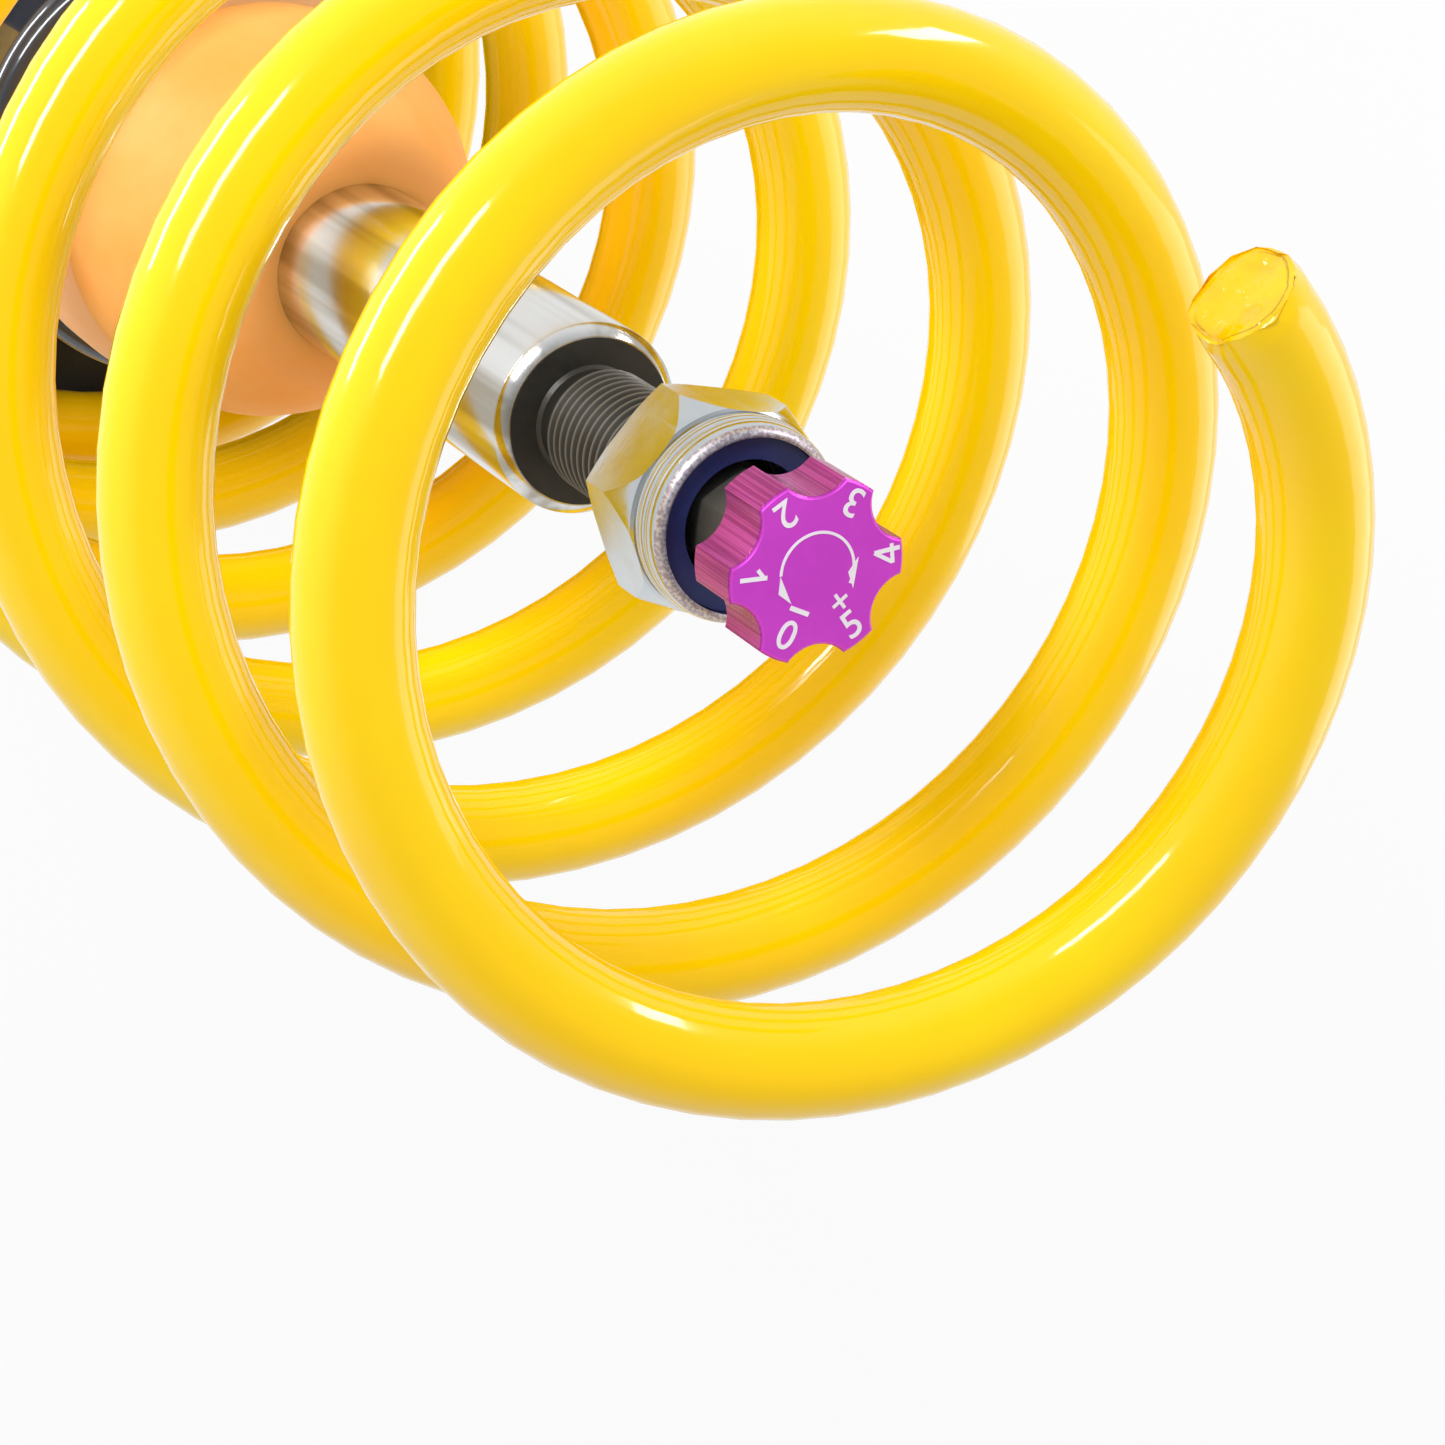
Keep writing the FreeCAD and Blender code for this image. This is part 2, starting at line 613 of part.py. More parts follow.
gland_low = guide_top + seat_gap
gland_top = gland_low + cell("gland_height")
revolve(gland, [
    (cell("gland_hole_r"), gland_low), (tube_bore - press, gland_low),
    (tube_bore - press, gland_top), (cell("gland_hole_r"), gland_top),
])
spanner_sketch = new_sketch(gland, "XY_Plane", gland_top)
draw_circle(spanner_sketch, cell("spanner_circle"), ZERO, cell("spanner_hole_r"))
spanner_cut = pocket(gland, spanner_sketch, cell("gland_height") / 2)
repeat(gland, [spanner_cut], cell("port_count"))

# Piston rod: ground bar, black shoulder and threaded spigot, hexagon tip, hollow inside.
rod = new_body("piston_rod")
groove_r = rod_r - cell("ring_depth")
ring_low = stop_low - cell("ring_thick")
chamfer = cell("rod_chamfer")
relief_r = spigot_r - cell("relief_depth")
relief_top = shoulder + cell("relief_height")
spigot_top = shoulder + cell("spigot_length")
tip_top = spigot_top + cell("tip_length")
revolve(rod, [
    (ZERO, rod_low), (stud_r, rod_low), (stud_r, stud_top), (rod_r, stud_top),
    (rod_r, ring_low), (groove_r, ring_low), (groove_r, stop_low), (rod_r, stop_low),
    (rod_r, shoulder - chamfer), (rod_r - chamfer, shoulder), (relief_r, shoulder),
    (relief_r, relief_top), (spigot_r, relief_top), (spigot_r, spigot_top), (ZERO, spigot_top),
])
tip_r = cell("tip_af") / 2
tip_corner = tip_r / COS_30
hexagon(rod, cell("tip_af"), spigot_top, cell("tip_length"))
tip_bevel = cell("tip_bevel")
revolve(rod, [
    (tip_corner - tip_bevel, tip_top), (tip_corner + tip_bevel, tip_top),
    (tip_corner + tip_bevel, tip_top - tip_bevel * 2),
], "PartDesign::Groove")
shaft_bore = shaft_r + run
orifice_r = cell("orifice_r")
needle_seat = rod_low + cell("needle_seat_rise")
revolve(rod, [
    (ZERO, rod_low), (orifice_r, rod_low), (orifice_r, needle_seat),
    (shaft_bore, needle_seat + (shaft_bore - orifice_r)), (shaft_bore, tip_top), (ZERO, tip_top),
], "PartDesign::Groove")
cross_sketch = new_sketch(rod, "XZ_Plane")
draw_circle(cross_sketch, ZERO, stud_top + cell("cross_hole_rise"), cell("cross_hole_r"))
pocket(rod, cross_sketch, centred=True)

# Piston with its ports and sliding band, between two stacks of shims, and its nut.
piston = new_body("piston")
piston_top = stud_top - stack
piston_low = piston_top - cell("piston_height")
piston_r = bore_r - run
band_in = piston_r - cell("band_depth")
band_half = cell("band_height") / 2
piston_mid = (piston_low + piston_top) / 2
revolve(piston, [
    (stud_r + press, piston_low), (piston_r, piston_low), (piston_r, piston_mid - band_half),
    (band_in - press, piston_mid - band_half), (band_in - press, piston_mid + band_half),
    (piston_r, piston_mid + band_half), (piston_r, piston_top), (stud_r + press, piston_top),
])
bleed_sketch = new_sketch(piston, "XY_Plane", piston_low)
draw_circle(bleed_sketch, cell("port_circle"), ZERO, cell("port_r"))
bleed_cut = pocket(piston, bleed_sketch, reverse=True)
repeat(piston, [bleed_cut], cell("port_count"))
ring("piston_band", band_in, piston_r, piston_mid - band_half, piston_mid + band_half)
disc_stack("rebound_shims", stud_r + press, cell("shim_r"), piston_low - stack, shim, shims)
disc_stack("compression_shims", stud_r + press, cell("shim_r"), piston_top, shim, shims)
piston_nut = new_body("piston_nut")
piston_nut_top = piston_low - stack
piston_nut_low = piston_nut_top - cell("piston_nut_h")
hexagon(piston_nut, cell("piston_nut_af"), piston_nut_low, cell("piston_nut_h"))
nut_bore = new_sketch(piston_nut, "XY_Plane", piston_nut_low)
draw_circle(nut_bore, ZERO, ZERO, stud_r + press)
pocket(piston_nut, nut_bore, reverse=True)

# Rebound stop: snap ring in its groove, steel collar and rubber buffer under the guide.
snap = ring("snap_ring", groove_r + press, groove_r + cell("ring_wall"), ring_low + press / 2,
            stop_low)
snap_gap = new_sketch(snap, "XZ_Plane")
draw_outline(snap_gap, [
    (ZERO, ring_low), (rod_r + rod_r, ring_low), (rod_r + rod_r, stop_low), (ZERO, stop_low),
])
pocket(snap, snap_gap, cell("ring_wall"), centred=True)
ring("rebound_stop", rod_r + press, cell("stop_r"), stop_low, stop_top)
ring("rebound_buffer", rod_r + press, cell("stop_r") - soft, stop_top,
     stop_top + cell("buffer_height"))

# Needle in the rod's bore, and the shaft that carries the knob's turn down to it.
needle = new_body("needle")
needle_tip = needle_seat + cell("needle_lift")
stem_top = needle_tip + cell("needle_stem")
needle_top = stem_top + cell("needle_guide")
socket_low = needle_top - cell("needle_socket")
socket_r = cell("stub_r") + run
revolve(needle, [
    (ZERO, needle_tip), (cell("needle_point_r"), needle_tip),
    (cell("stem_r"), needle_tip + cell("needle_cone")), (cell("stem_r"), stem_top),
    (shaft_r, stem_top), (shaft_r, needle_top), (socket_r, needle_top), (socket_r, socket_low),
    (ZERO, socket_low),
])
shaft = new_body("adjuster_shaft")
shaft_step = needle_top + cell("needle_play")
stub_low = socket_low + cell("needle_play") / 2
knob_low = shoulder + cell("knob_rise")
shaft_top = knob_low + cell("knob_bore") - seat_gap
revolve(shaft, [
    (ZERO, stub_low), (cell("stub_r"), stub_low), (cell("stub_r"), shaft_step),
    (shaft_r, shaft_step), (shaft_r, shaft_top), (ZERO, shaft_top),
])

# Adjuster knob: six lobes between six scallops, bored blind for the shaft.
knob = new_body("adjuster_knob")
knob_sketch = new_sketch(knob, "XY_Plane", knob_low)
draw_circle(knob_sketch, ZERO, ZERO, cell("knob_r"))
pad(knob, knob_sketch, cell("knob_height"))
scallop_sketch = new_sketch(knob, "XY_Plane", knob_low)
draw_circle(scallop_sketch, cell("scallop_centre"), ZERO, cell("scallop_r"))
scallop_cut = pocket(knob, scallop_sketch, reverse=True)
scallops = repeat(knob, [scallop_cut], cell("knob_lobes"))
knob_hole = new_sketch(knob, "XY_Plane", knob_low)
draw_circle(knob_hole, ZERO, ZERO, shaft_r + press)
knob_bored = pocket(knob, knob_hole, cell("knob_bore"), reverse=True)
doc.recompute()
front = max(range(len(knob_bored.Shape.Faces)),
            key=lambda i: knob_bored.Shape.Faces[i].CenterOfMass.z)
knob_edge = knob.newObject("PartDesign::Chamfer", "Chamfer")
knob_edge.Base = (knob_bored, [f"Face{front + 1}"])
knob_edge.setExpression("Size", cell("knob_edge").text)
turn_body(knob, cell("knob_turn"))

# Top nut: hexagon turned down to a round rim that holds the nylon insert.
nut = new_body("top_nut")
nut_low = shoulder + cell("nut_rise")
nut_top = nut_low + cell("nut_height")
nut_corner_r = cell("nut_af") / 2 / COS_30
nut_bevel = cell("nut_bevel")
nut_out = nut_corner_r + nut_bevel
rim_round = cell("nut_rim_round")
hexagon(nut, cell("nut_af"), nut_low, cell("nut_height"))
revolve(nut, [
    (nut_corner_r, nut_low + cell("nut_corner")), (cell("nut_cone_r"), nut_low + cell("nut_cone_h")),
    (cell("nut_rim_r"), nut_top - rim_round), (cell("nut_rim_r") - rim_round, nut_top),
    (nut_out, nut_top), (nut_out, nut_low + cell("nut_corner")),
], "PartDesign::Groove")
revolve(nut, [
    (nut_corner_r - nut_bevel, nut_low), (nut_out, nut_low), (nut_out, nut_low + nut_bevel),
], "PartDesign::Groove")
insert_r = cell("nut_rim_r") - cell("nut_rim_wall")
insert_low = nut_low + cell("nut_thread")
revolve(nut, [
    (ZERO, nut_low), (spigot_r + run, nut_low), (spigot_r + run, insert_low),
    (insert_r, insert_low), (insert_r, nut_top), (ZERO, nut_top),
], "PartDesign::Groove")
turn_body(nut, cell("nut_turn"))
ring("nylon_insert", cell("insert_hole_r"), insert_r - press, insert_low,
     insert_low + cell("insert_height"))

# Bump stop: a thick foot, a groove, a belly and a tapered nose round the rod.
bump = new_body("bump_stop")
bump_low = cap_top + soft
bump_top = bump_low + cell("bump_length")
foot_top = bump_low + cell("bump_foot_h")
cone_low = bump_low + cell("bump_cone_h")
bump_turned = revolve(bump, [
    (rod_r + soft, bump_low), (cell("bump_foot_r"), bump_low), (cell("bump_foot_r"), foot_top),
    (cell("bump_groove_r"), bump_low + cell("bump_groove_h")),
    (cell("bump_belly_r"), bump_low + cell("bump_belly_h")), (cell("bump_belly_r"), cone_low),
    (cell("bump_nose_r"), bump_top), (rod_r + soft, bump_top),
])
foot_rounded = round_edges(bump, bump_turned,
                           circle_edges(bump_turned, cell("bump_foot_r"), foot_top),
                           cell("foot_round"))
belly_rounded = round_edges(bump, foot_rounded,
                            circle_edges(foot_rounded, cell("bump_belly_r"), cone_low),
                            cell("belly_round"))
round_edges(bump, belly_rounded,
            circle_edges(belly_rounded, cell("bump_nose_r"), bump_top), cell("bump_round"))

# Spring pad on the perch, with a rim that centres the spring's end turn.
pad_low = spring_seat - cell("pad_thick")
pad_in = hub_in + cell("pad_inset")
pad_body = new_body("spring_pad")
revolve(pad_body, [
    (pad_in, pad_low), (cell("pad_out_r"), pad_low), (cell("pad_out_r"), spring_seat),
    (cell("pad_rim_r"), spring_seat), (cell("pad_rim_r"), spring_seat + cell("pad_rim_h")),
    (pad_in, spring_seat + cell("pad_rim_h")),
])

# Perch collar: flange on a hub, ribs between them, spanner notches and a lock screw.
perch = new_body("perch_collar")
perch_top = pad_low - seat_gap
hub_low = perch_top - cell("hub_height")
plate_under = perch_top - cell("perch_plate")
lip_in = cell("pad_out_r") + soft
lip_out = lip_in + cell("perch_lip")
lip_top = perch_top + cell("perch_lip_h")
revolve(perch, [
    (hub_in, hub_low), (hub_r, hub_low), (hub_r, plate_under),
    (lip_out, plate_under), (lip_out, lip_top), (lip_in, lip_top), (lip_in, perch_top),
    (hub_in, perch_top),
])
rib_sketch = new_sketch(perch, "XZ_Plane")
rib_root = hub_r - cell("notch_depth")
draw_outline(rib_sketch, [
    (rib_root, plate_under), (lip_out - cell("perch_lip"), plate_under),
    (hub_r, plate_under - cell("rib_height")), (rib_root, plate_under - cell("rib_height")),
])
rib = pad(perch, rib_sketch, cell("rib_thick"), centred=True)
repeat(perch, [rib], cell("rib_count"))
notch_sketch = new_sketch(perch, "XZ_Plane")
notch_out = hub_r + cell("notch_depth")
draw_outline(notch_sketch, [
    (rib_root, hub_low), (notch_out, hub_low), (notch_out, hub_low + cell("notch_height")),
    (rib_root, hub_low + cell("notch_height")),
])
notch = pocket(perch, notch_sketch, cell("notch_width"), centred=True)
repeat(perch, [notch], cell("notch_count"))
lock_z = hub_low + cell("lock_low")
perch_hole = new_sketch(perch, "XZ_Plane")
draw_circle(perch_hole, ZERO, lock_z, cell("lock_r") + press)
pocket(perch, perch_hole)
insert = ring("perch_insert", thread_r + run, hub_in - press, hub_low, perch_top)
insert_hole = new_sketch(insert, "XZ_Plane")
draw_circle(insert_hole, ZERO, lock_z, cell("lock_r") + press)
pocket(insert, insert_hole)

# Lock screw: a set screw along +Y through the hub, with a hexagon socket.
lock_in = thread_r + run
lock_out = hub_r - press
screw = doc.addObject("Part::Cylinder", "ScrewBlank")
screw.setExpression("Radius", cell("lock_r").text)
screw.setExpression("Height", (lock_out - lock_in).text)
socket = doc.addObject("Part::Prism", "ScrewSocket")
socket.Polygon = 6
socket.setExpression("Circumradius", (cell("lock_socket_af") / 2 / COS_30).text)
socket.setExpression("Height", cell("lock_socket_af").text)
for solid, start in ((screw, lock_in), (socket, lock_out - cell("lock_socket_af"))):
    solid.Placement = FreeCAD.Placement(V(), FreeCAD.Rotation(V(1, 0, 0), -90))
    solid.setExpression(".Placement.Base.y", start.text)
    solid.setExpression(".Placement.Base.z", lock_z.text)
lock_screw = doc.addObject("Part::Cut", "lock_screw")
lock_screw.Base = screw
lock_screw.Tool = socket
lock_screw.Label = "lock_screw"
NODES.append(lock_screw)


# Main spring: one wire, drawn in at both ends, its pitch largest in the middle.
def pitch_sum(turn):
    """Height lost from the spring's upper end to a number of turns below it."""
    most = sheet.pitch_mid
    fall = (most - sheet.pitch_top) / sheet.mid_turn ** 2
    open_turn = min(turn, sheet.close_turn)
    total = most * open_turn
    total -= fall * ((open_turn - sheet.mid_turn) ** 3 + sheet.mid_turn ** 3) / 3
    if turn > sheet.close_turn:
        span = sheet.flat_turn - sheet.close_turn
        s = min((turn - sheet.close_turn) / span, 1)
        closing = most - fall * (sheet.close_turn - sheet.mid_turn) ** 2
        total += closing * span * (s - s ** 3 + s ** 4 / 2)
    return total


def coil_point(turn):
    """Centre of the wire at a number of turns from the upper end."""
    radius = sheet.coil_r
    radius -= sheet.top_draw * math.exp(-turn / sheet.top_turns)
    radius += sheet.tip_flare * math.exp(-turn / sheet.tip_turns)
    radius -= sheet.end_draw * math.exp((turn - sheet.turns) / sheet.end_turns)
    rise = pitch_sum(sheet.turns) - pitch_sum(turn)
    share = rise / pitch_sum(sheet.turns)
    angle = math.radians(sheet.tip_angle) - 2 * math.pi * turn
    return V(
        radius * math.cos(angle) + sheet.lean_x * share,
        radius * math.sin(angle) + sheet.lean_y * share - sheet.bow * math.sin(math.pi * share),
        spring_seat.number + sheet.seat_gap + sheet.wire_d / 2 + rise,
    )


def coil_tangent(turn):
    step = 1e-4
    return (coil_point(turn + step) - coil_point(turn - step)).normalize()


def tangent_arc(start, tangent, end):
    """An arc that leaves a point along a tangent and ends at another point."""
    chord = end - start
    inward = (chord - tangent * chord.dot(tangent)).normalize()
    radius = chord.dot(chord) / (2 * chord.dot(inward))
    centre = start + inward * radius
    middle = centre - (centre * 2 - start - end).normalize() * radius
    return Part.Arc(start, middle, end).toShape(), radius


def biarc(start, start_dir, end, end_dir):
    """Two arcs that join two points and keep the direction at both."""
    chord = end - start
    both = start_dir + end_dir
    bend = 2 * (1 - start_dir.dot(end_dir))
    reach = chord.dot(both)
    arm = (math.sqrt(reach ** 2 + bend * chord.dot(chord)) - reach) / bend
    joint = (start + start_dir * arm + end - end_dir * arm) * 0.5
    return tangent_arc(start, start_dir, joint), tangent_arc(end, -end_dir, joint)


steps = round(sheet.turns * 4)
stations = [sheet.turns * i / steps for i in range(steps + 1)]
stations[0] -= sheet.tip_lap
edges = []
bends = []
for a, b in zip(stations, stations[1:]):
    for edge, radius in biarc(coil_point(a), coil_tangent(a), coil_point(b), coil_tangent(b)):
        edges.append(edge)
        bends.append(radius)
wire_r = sheet.wire_d / 2
path = Part.Wire(Part.__sortEdges__(edges))
section = Part.Wire(Part.makeCircle(wire_r, coil_point(stations[0]), coil_tangent(stations[0])))
sweep = Part.BRepOffsetAPI.MakePipeShell(path)
sweep.add(section)
sweep.build()
sweep.makeSolid()
coil = sweep.shape()
rims = [
    edge for edge in coil.Edges
    if isinstance(edge.Curve, Part.Circle) and abs(edge.Curve.Radius - wire_r) < 1e-6
    and min(edge.Curve.Center.distanceToPoint(coil_point(t)) for t in (stations[0], stations[-1])) < 1e-3
]
coil = coil.makeFillet(sheet.tip_round, rims)
spring = doc.addObject("Part::Feature", "main_spring")
spring.Label = "main_spring"
spring.Shape = coil
NODES.append(spring)

samples = [coil_point(i / 60) for i in range(int(sheet.turns * 60) + 1)]
gap = min(
    samples[i].distanceToPoint(samples[j])
    for i in range(len(samples)) for j in range(i + 30, len(samples))
) - sheet.wire_d
length = sum(edge.Length for edge in edges)
print(f"spring: least gap to itself {gap:.2f} mm, least bend radius {min(bends):.1f} mm, "
      f"volume over section times length "
      f"{coil.Volume / (math.pi * wire_r ** 2 * length):.4f}")

doc.recompute()
for item in doc.Objects:
    if "Invalid" in item.State or "Error" in item.State:
        raise RuntimeError(f"{item.Label} failed: {item.State}")
os.makedirs("parts", exist_ok=True)
for node in NODES:
    if node.Shape.isNull() or not node.Shape.isValid():
        raise RuntimeError(f"{node.Label} has no valid shape")
    node.Shape.exportStep(f"parts/{node.Label}.step")
print(f"{len(NODES)} nodes, shoulder at {shoulder.number:.1f} mm")
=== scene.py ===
import json
import math

import bpy
from mathutils import Matrix, Vector


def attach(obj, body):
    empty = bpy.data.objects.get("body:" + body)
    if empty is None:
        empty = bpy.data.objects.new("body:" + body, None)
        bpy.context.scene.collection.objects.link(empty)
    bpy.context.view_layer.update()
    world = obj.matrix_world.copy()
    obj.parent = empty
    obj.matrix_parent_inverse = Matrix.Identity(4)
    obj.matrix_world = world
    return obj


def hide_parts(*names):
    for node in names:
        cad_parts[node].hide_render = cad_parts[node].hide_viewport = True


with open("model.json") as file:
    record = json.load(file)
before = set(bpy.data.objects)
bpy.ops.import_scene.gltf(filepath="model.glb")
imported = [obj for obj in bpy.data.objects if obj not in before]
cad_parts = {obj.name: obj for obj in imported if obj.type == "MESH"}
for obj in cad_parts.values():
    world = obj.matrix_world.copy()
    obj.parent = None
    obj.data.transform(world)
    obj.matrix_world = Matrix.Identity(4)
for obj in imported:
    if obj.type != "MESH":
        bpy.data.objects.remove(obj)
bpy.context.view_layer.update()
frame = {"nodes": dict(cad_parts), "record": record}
nodes = frame["nodes"]
MM = 0.001

# Sizes of the pieces that are modelled here: heights (Z) above the strut's foot and radii (R) in
# millimetres, angles in degrees, and turns of the wire counted from its upper end.
SHOULDER_Z = 460.0
ROD_FOOT_Z = 236.0
STUD_TOP_Z = 262.0
GROOVE_LOW_Z = 274.2
GROOVE_TOP_Z = 276.0
ROD_R = 11.0
STUD_R = 6.0
ROD_GROOVE_R = 10.0
SHOULDER_R = 9.7
RECESS_R = 5.5
NEEDLE_HOLE_R = 1.5
SPIGOT_R = 7.0
THREAD_ROOT_R = 6.15
THREAD_PITCH = 1.5
TIP_HALF_FLATS = 5.0
NUT_HALF_FLATS = 11.0
NUT_TURN = 21
RELIEF_TOP_Z = 462.6
SPIGOT_TOP_Z = 493.0
TIP_TOP_Z = 503.0
SHAFT_HOLE_R = 3.0
KNOB_FACE_Z = 513.7
MARK_RISE = 0.06
FIGURE_SIZE = 4.35
FOUR_R, FOUR_ANGLE = 7.9, 98.7
ARC_INNER_R, ARC_OUTER_R = 3.95, 4.25
ARC_START, ARC_SWEEP = 88, 204
WIRE_R = 6.0
WIRE_TURNS = 6.73
START_TURN = -0.0075
END_ANGLE = 135.6
COIL_R = 56.75
SPRING_SEAT_Z = 286.6
SLEEVE_LOW_Z = 180.0
COLLAR_TOP_Z = 186.0
SLEEVE_TOP_Z = 316.0
SLEEVE_BORE_R = 27.55
COLLAR_R = 32.5
SLEEVE_THREAD_R = 30.0
SLEEVE_ROOT_R = 28.9
SLEEVE_PITCH = 2.0


# Tools for shaping the pieces.

def deselect():
    if bpy.context.object and bpy.context.object.mode != "OBJECT":
        bpy.ops.object.mode_set(mode="OBJECT")
    bpy.ops.object.select_all(action="DESELECT")


def named(name):
    """Gives the object just added its name and its mesh the same."""
    piece = bpy.context.object
    piece.name = name
    piece.data.name = name
    return piece


def pick(piece):
    """Makes the piece the only one selected, and the active one."""
    deselect()
    piece.select_set(True)
    bpy.context.view_layer.objects.active = piece


def edit(piece):
    """Opens the piece's mesh with all of it selected."""
    pick(piece)
    bpy.ops.object.mode_set(mode="EDIT")
    bpy.ops.mesh.select_all(action="SELECT")


def close_up(threshold=0.001 * MM):
    """Merges corners that meet, turns all faces outwards and closes the open mesh again."""
    bpy.ops.mesh.select_all(action="SELECT")
    bpy.ops.mesh.remove_doubles(threshold=threshold)
    bpy.ops.mesh.normals_make_consistent(inside=False)
    bpy.ops.object.mode_set(mode="OBJECT")


def apply_all(piece):
    """Applies the piece's modifiers, then its place, turn and scale."""
    pick(piece)
    for modifier in list(piece.modifiers):
        bpy.ops.object.modifier_apply(modifier=modifier.name)
    bpy.ops.object.transform_apply(location=True, rotation=True, scale=True)


def profile_line(name, points):
    """An edge chain in the XZ plane, drawn by extruding one corner from point to point."""
    deselect()
    bpy.ops.mesh.primitive_plane_add(size=MM, location=(0, 0, 0))
    piece = named(name)
    edit(piece)
    bpy.ops.mesh.merge(type="CENTER")
    r, z = points[0]
    bpy.ops.transform.translate(value=(r * MM, 0, z * MM))
    for (r0, z0), (r1, z1) in zip(points, points[1:]):
        step = ((r1 - r0) * MM, 0, (z1 - z0) * MM)
        bpy.ops.mesh.extrude_region_move(TRANSFORM_OT_translate={"value": step})
    bpy.ops.object.mode_set(mode="OBJECT")
    return piece


def soften(piece, width, segments=2, angle=30):
    """Rolls the sharp edges over and smooths the faces between them."""
    bevel = piece.modifiers.new("edges", "BEVEL")
    bevel.width = width * MM
    bevel.segments = segments
    bevel.limit_method = "ANGLE"
    bevel.angle_limit = math.radians(angle)
    bevel.use_clamp_overlap = True
    apply_all(piece)


def smooth(piece, angle=35):
    """Shades the faces as one surface where they meet at less than the angle."""
    pick(piece)
    bpy.ops.object.shade_smooth_by_angle(angle=math.radians(angle))


def turned(name, points, steps=128, edge=0.0):
    """A closed outline turned round the strut's axis."""
    piece = profile_line(name, points + points[:1])
    edit(piece)
    bpy.ops.mesh.remove_doubles(threshold=0.001 * MM)
    bpy.ops.mesh.select_all(action="SELECT")
    bpy.ops.mesh.spin(steps=steps, angle=math.tau, center=(0, 0, 0), axis=(0, 0, 1))
    close_up()
    if edge:
        soften(piece, edge)
    smooth(piece)
    return piece


def thread(name, root, crest, pitch, low, turns, steps):
    """A screw thread: one tooth wound up round the axis, run out at both ends."""
    flat = pitch / 8
    tooth = [(root, low), (root, low + flat), (crest, low + pitch * 0.45),
             (crest, low + pitch * 0.45 + flat), (root, low + pitch)]
    piece = profile_line(name, tooth)
    winding = piece.modifiers.new("winding", "SCREW")
    winding.axis = "Z"
    winding.angle = math.tau
    winding.screw_offset = pitch * MM
    winding.iterations = turns
    winding.steps = steps
    winding.render_steps = steps
    winding.use_merge_vertices = True
    winding.merge_threshold = 0.001 * MM
    apply_all(piece)
    high = low + pitch * (turns + 1)
    edit(piece)
    bpy.ops.mesh.select_all(action="DESELECT")
    bpy.ops.object.mode_set(mode="OBJECT")
    for vertex in piece.data.vertices:
        z = vertex.co.z / MM
        vertex.select = z < low + pitch * 0.9 or z > high - pitch * 0.9
    bpy.ops.object.mode_set(mode="EDIT")
    bpy.ops.transform.resize(value=(root / crest, root / crest, 1), center_override=(0, 0, 0))
    close_up(0.004 * MM)
    wall = piece.modifiers.new("wall", "SOLIDIFY")
    wall.thickness = 0.3 * MM
    wall.offset = -1
    apply_all(piece)
    smooth(piece, 25)
    return piece


def carve(piece, other, operation="DIFFERENCE"):
    """Takes the other shape out of the piece, or with INTERSECT leaves what both of them fill."""
    carving = piece.modifiers.new("carving", "BOOLEAN")
    carving.operation = operation
    carving.solver = "EXACT"
    carving.object = other
    apply_all(piece)
    bpy.data.objects.remove(other)


# Shader groups that several finishes share, and the nodes they are made of.

def group(name, inputs, outputs):
    """An empty node group with its sockets and its input and output nodes."""
    tree = bpy.data.node_groups.new(name, "ShaderNodeTree")
    for label, kind, value in inputs:
        socket = tree.interface.new_socket(label, in_out="INPUT", socket_type=kind)
        if value is not None:
            socket.default_value = value
    for label, kind in outputs:
        tree.interface.new_socket(label, in_out="OUTPUT", socket_type=kind)
    return tree, tree.nodes.new("NodeGroupInput"), tree.nodes.new("NodeGroupOutput")


def feed(tree, socket, value):
    """Sets a socket to a number, or links another node's output to it."""
    if isinstance(value, (int, float)):
        socket.default_value = value
    else:
        tree.links.new(value, socket)


def math_node(tree, operation, a, b=None, clamp=False):
    node = tree.nodes.new("ShaderNodeMath")
    node.operation = operation
    node.use_clamp = clamp
    for socket, value in zip(node.inputs, (a, b)):
        if value is not None:
            feed(tree, socket, value)
    return node.outputs[0]


def noise(tree, vector, scale, detail, roughness=0.5):
    node = tree.nodes.new("ShaderNodeTexNoise")
    node.inputs["Detail"].default_value = detail
    node.inputs["Roughness"].default_value = roughness
    tree.links.new(vector, node.inputs["Vector"])
    feed(tree, node.inputs["Scale"], scale)
    return node.outputs["Fac"]


def spread(tree, value, low, high, to_low, to_high):
    """Maps a value from one range to another, smoothly, and holds it there."""
    node = tree.nodes.new("ShaderNodeMapRange")
    node.interpolation_type = "SMOOTHSTEP"
    tree.links.new(value, node.inputs["Value"])
    for label, number in (("From Min", low), ("From Max", high),
                          ("To Min", to_low), ("To Max", to_high)):
        feed(tree, node.inputs[label], number)
    return node.outputs["Result"]


def blend_colour(tree, factor, a, b):
    node = tree.nodes.new("ShaderNodeMix")
    node.data_type = "RGBA"
    tree.links.new(factor, node.inputs[0])
    for socket, value in ((node.inputs[6], a), (node.inputs[7], b)):
        if isinstance(value, tuple):
            socket.default_value = (*value, 1)
        else:
            tree.links.new(value, socket)
    return node.outputs[2]


def distance_from_axis(tree, axes):
    """How far the shaded point is from the strut's axis."""
    x2 = math_node(tree, "POWER", axes["X"], 2.0)
    y2 = math_node(tree, "POWER", axes["Y"], 2.0)
    return math_node(tree, "SQRT", math_node(tree, "ADD", x2, y2))


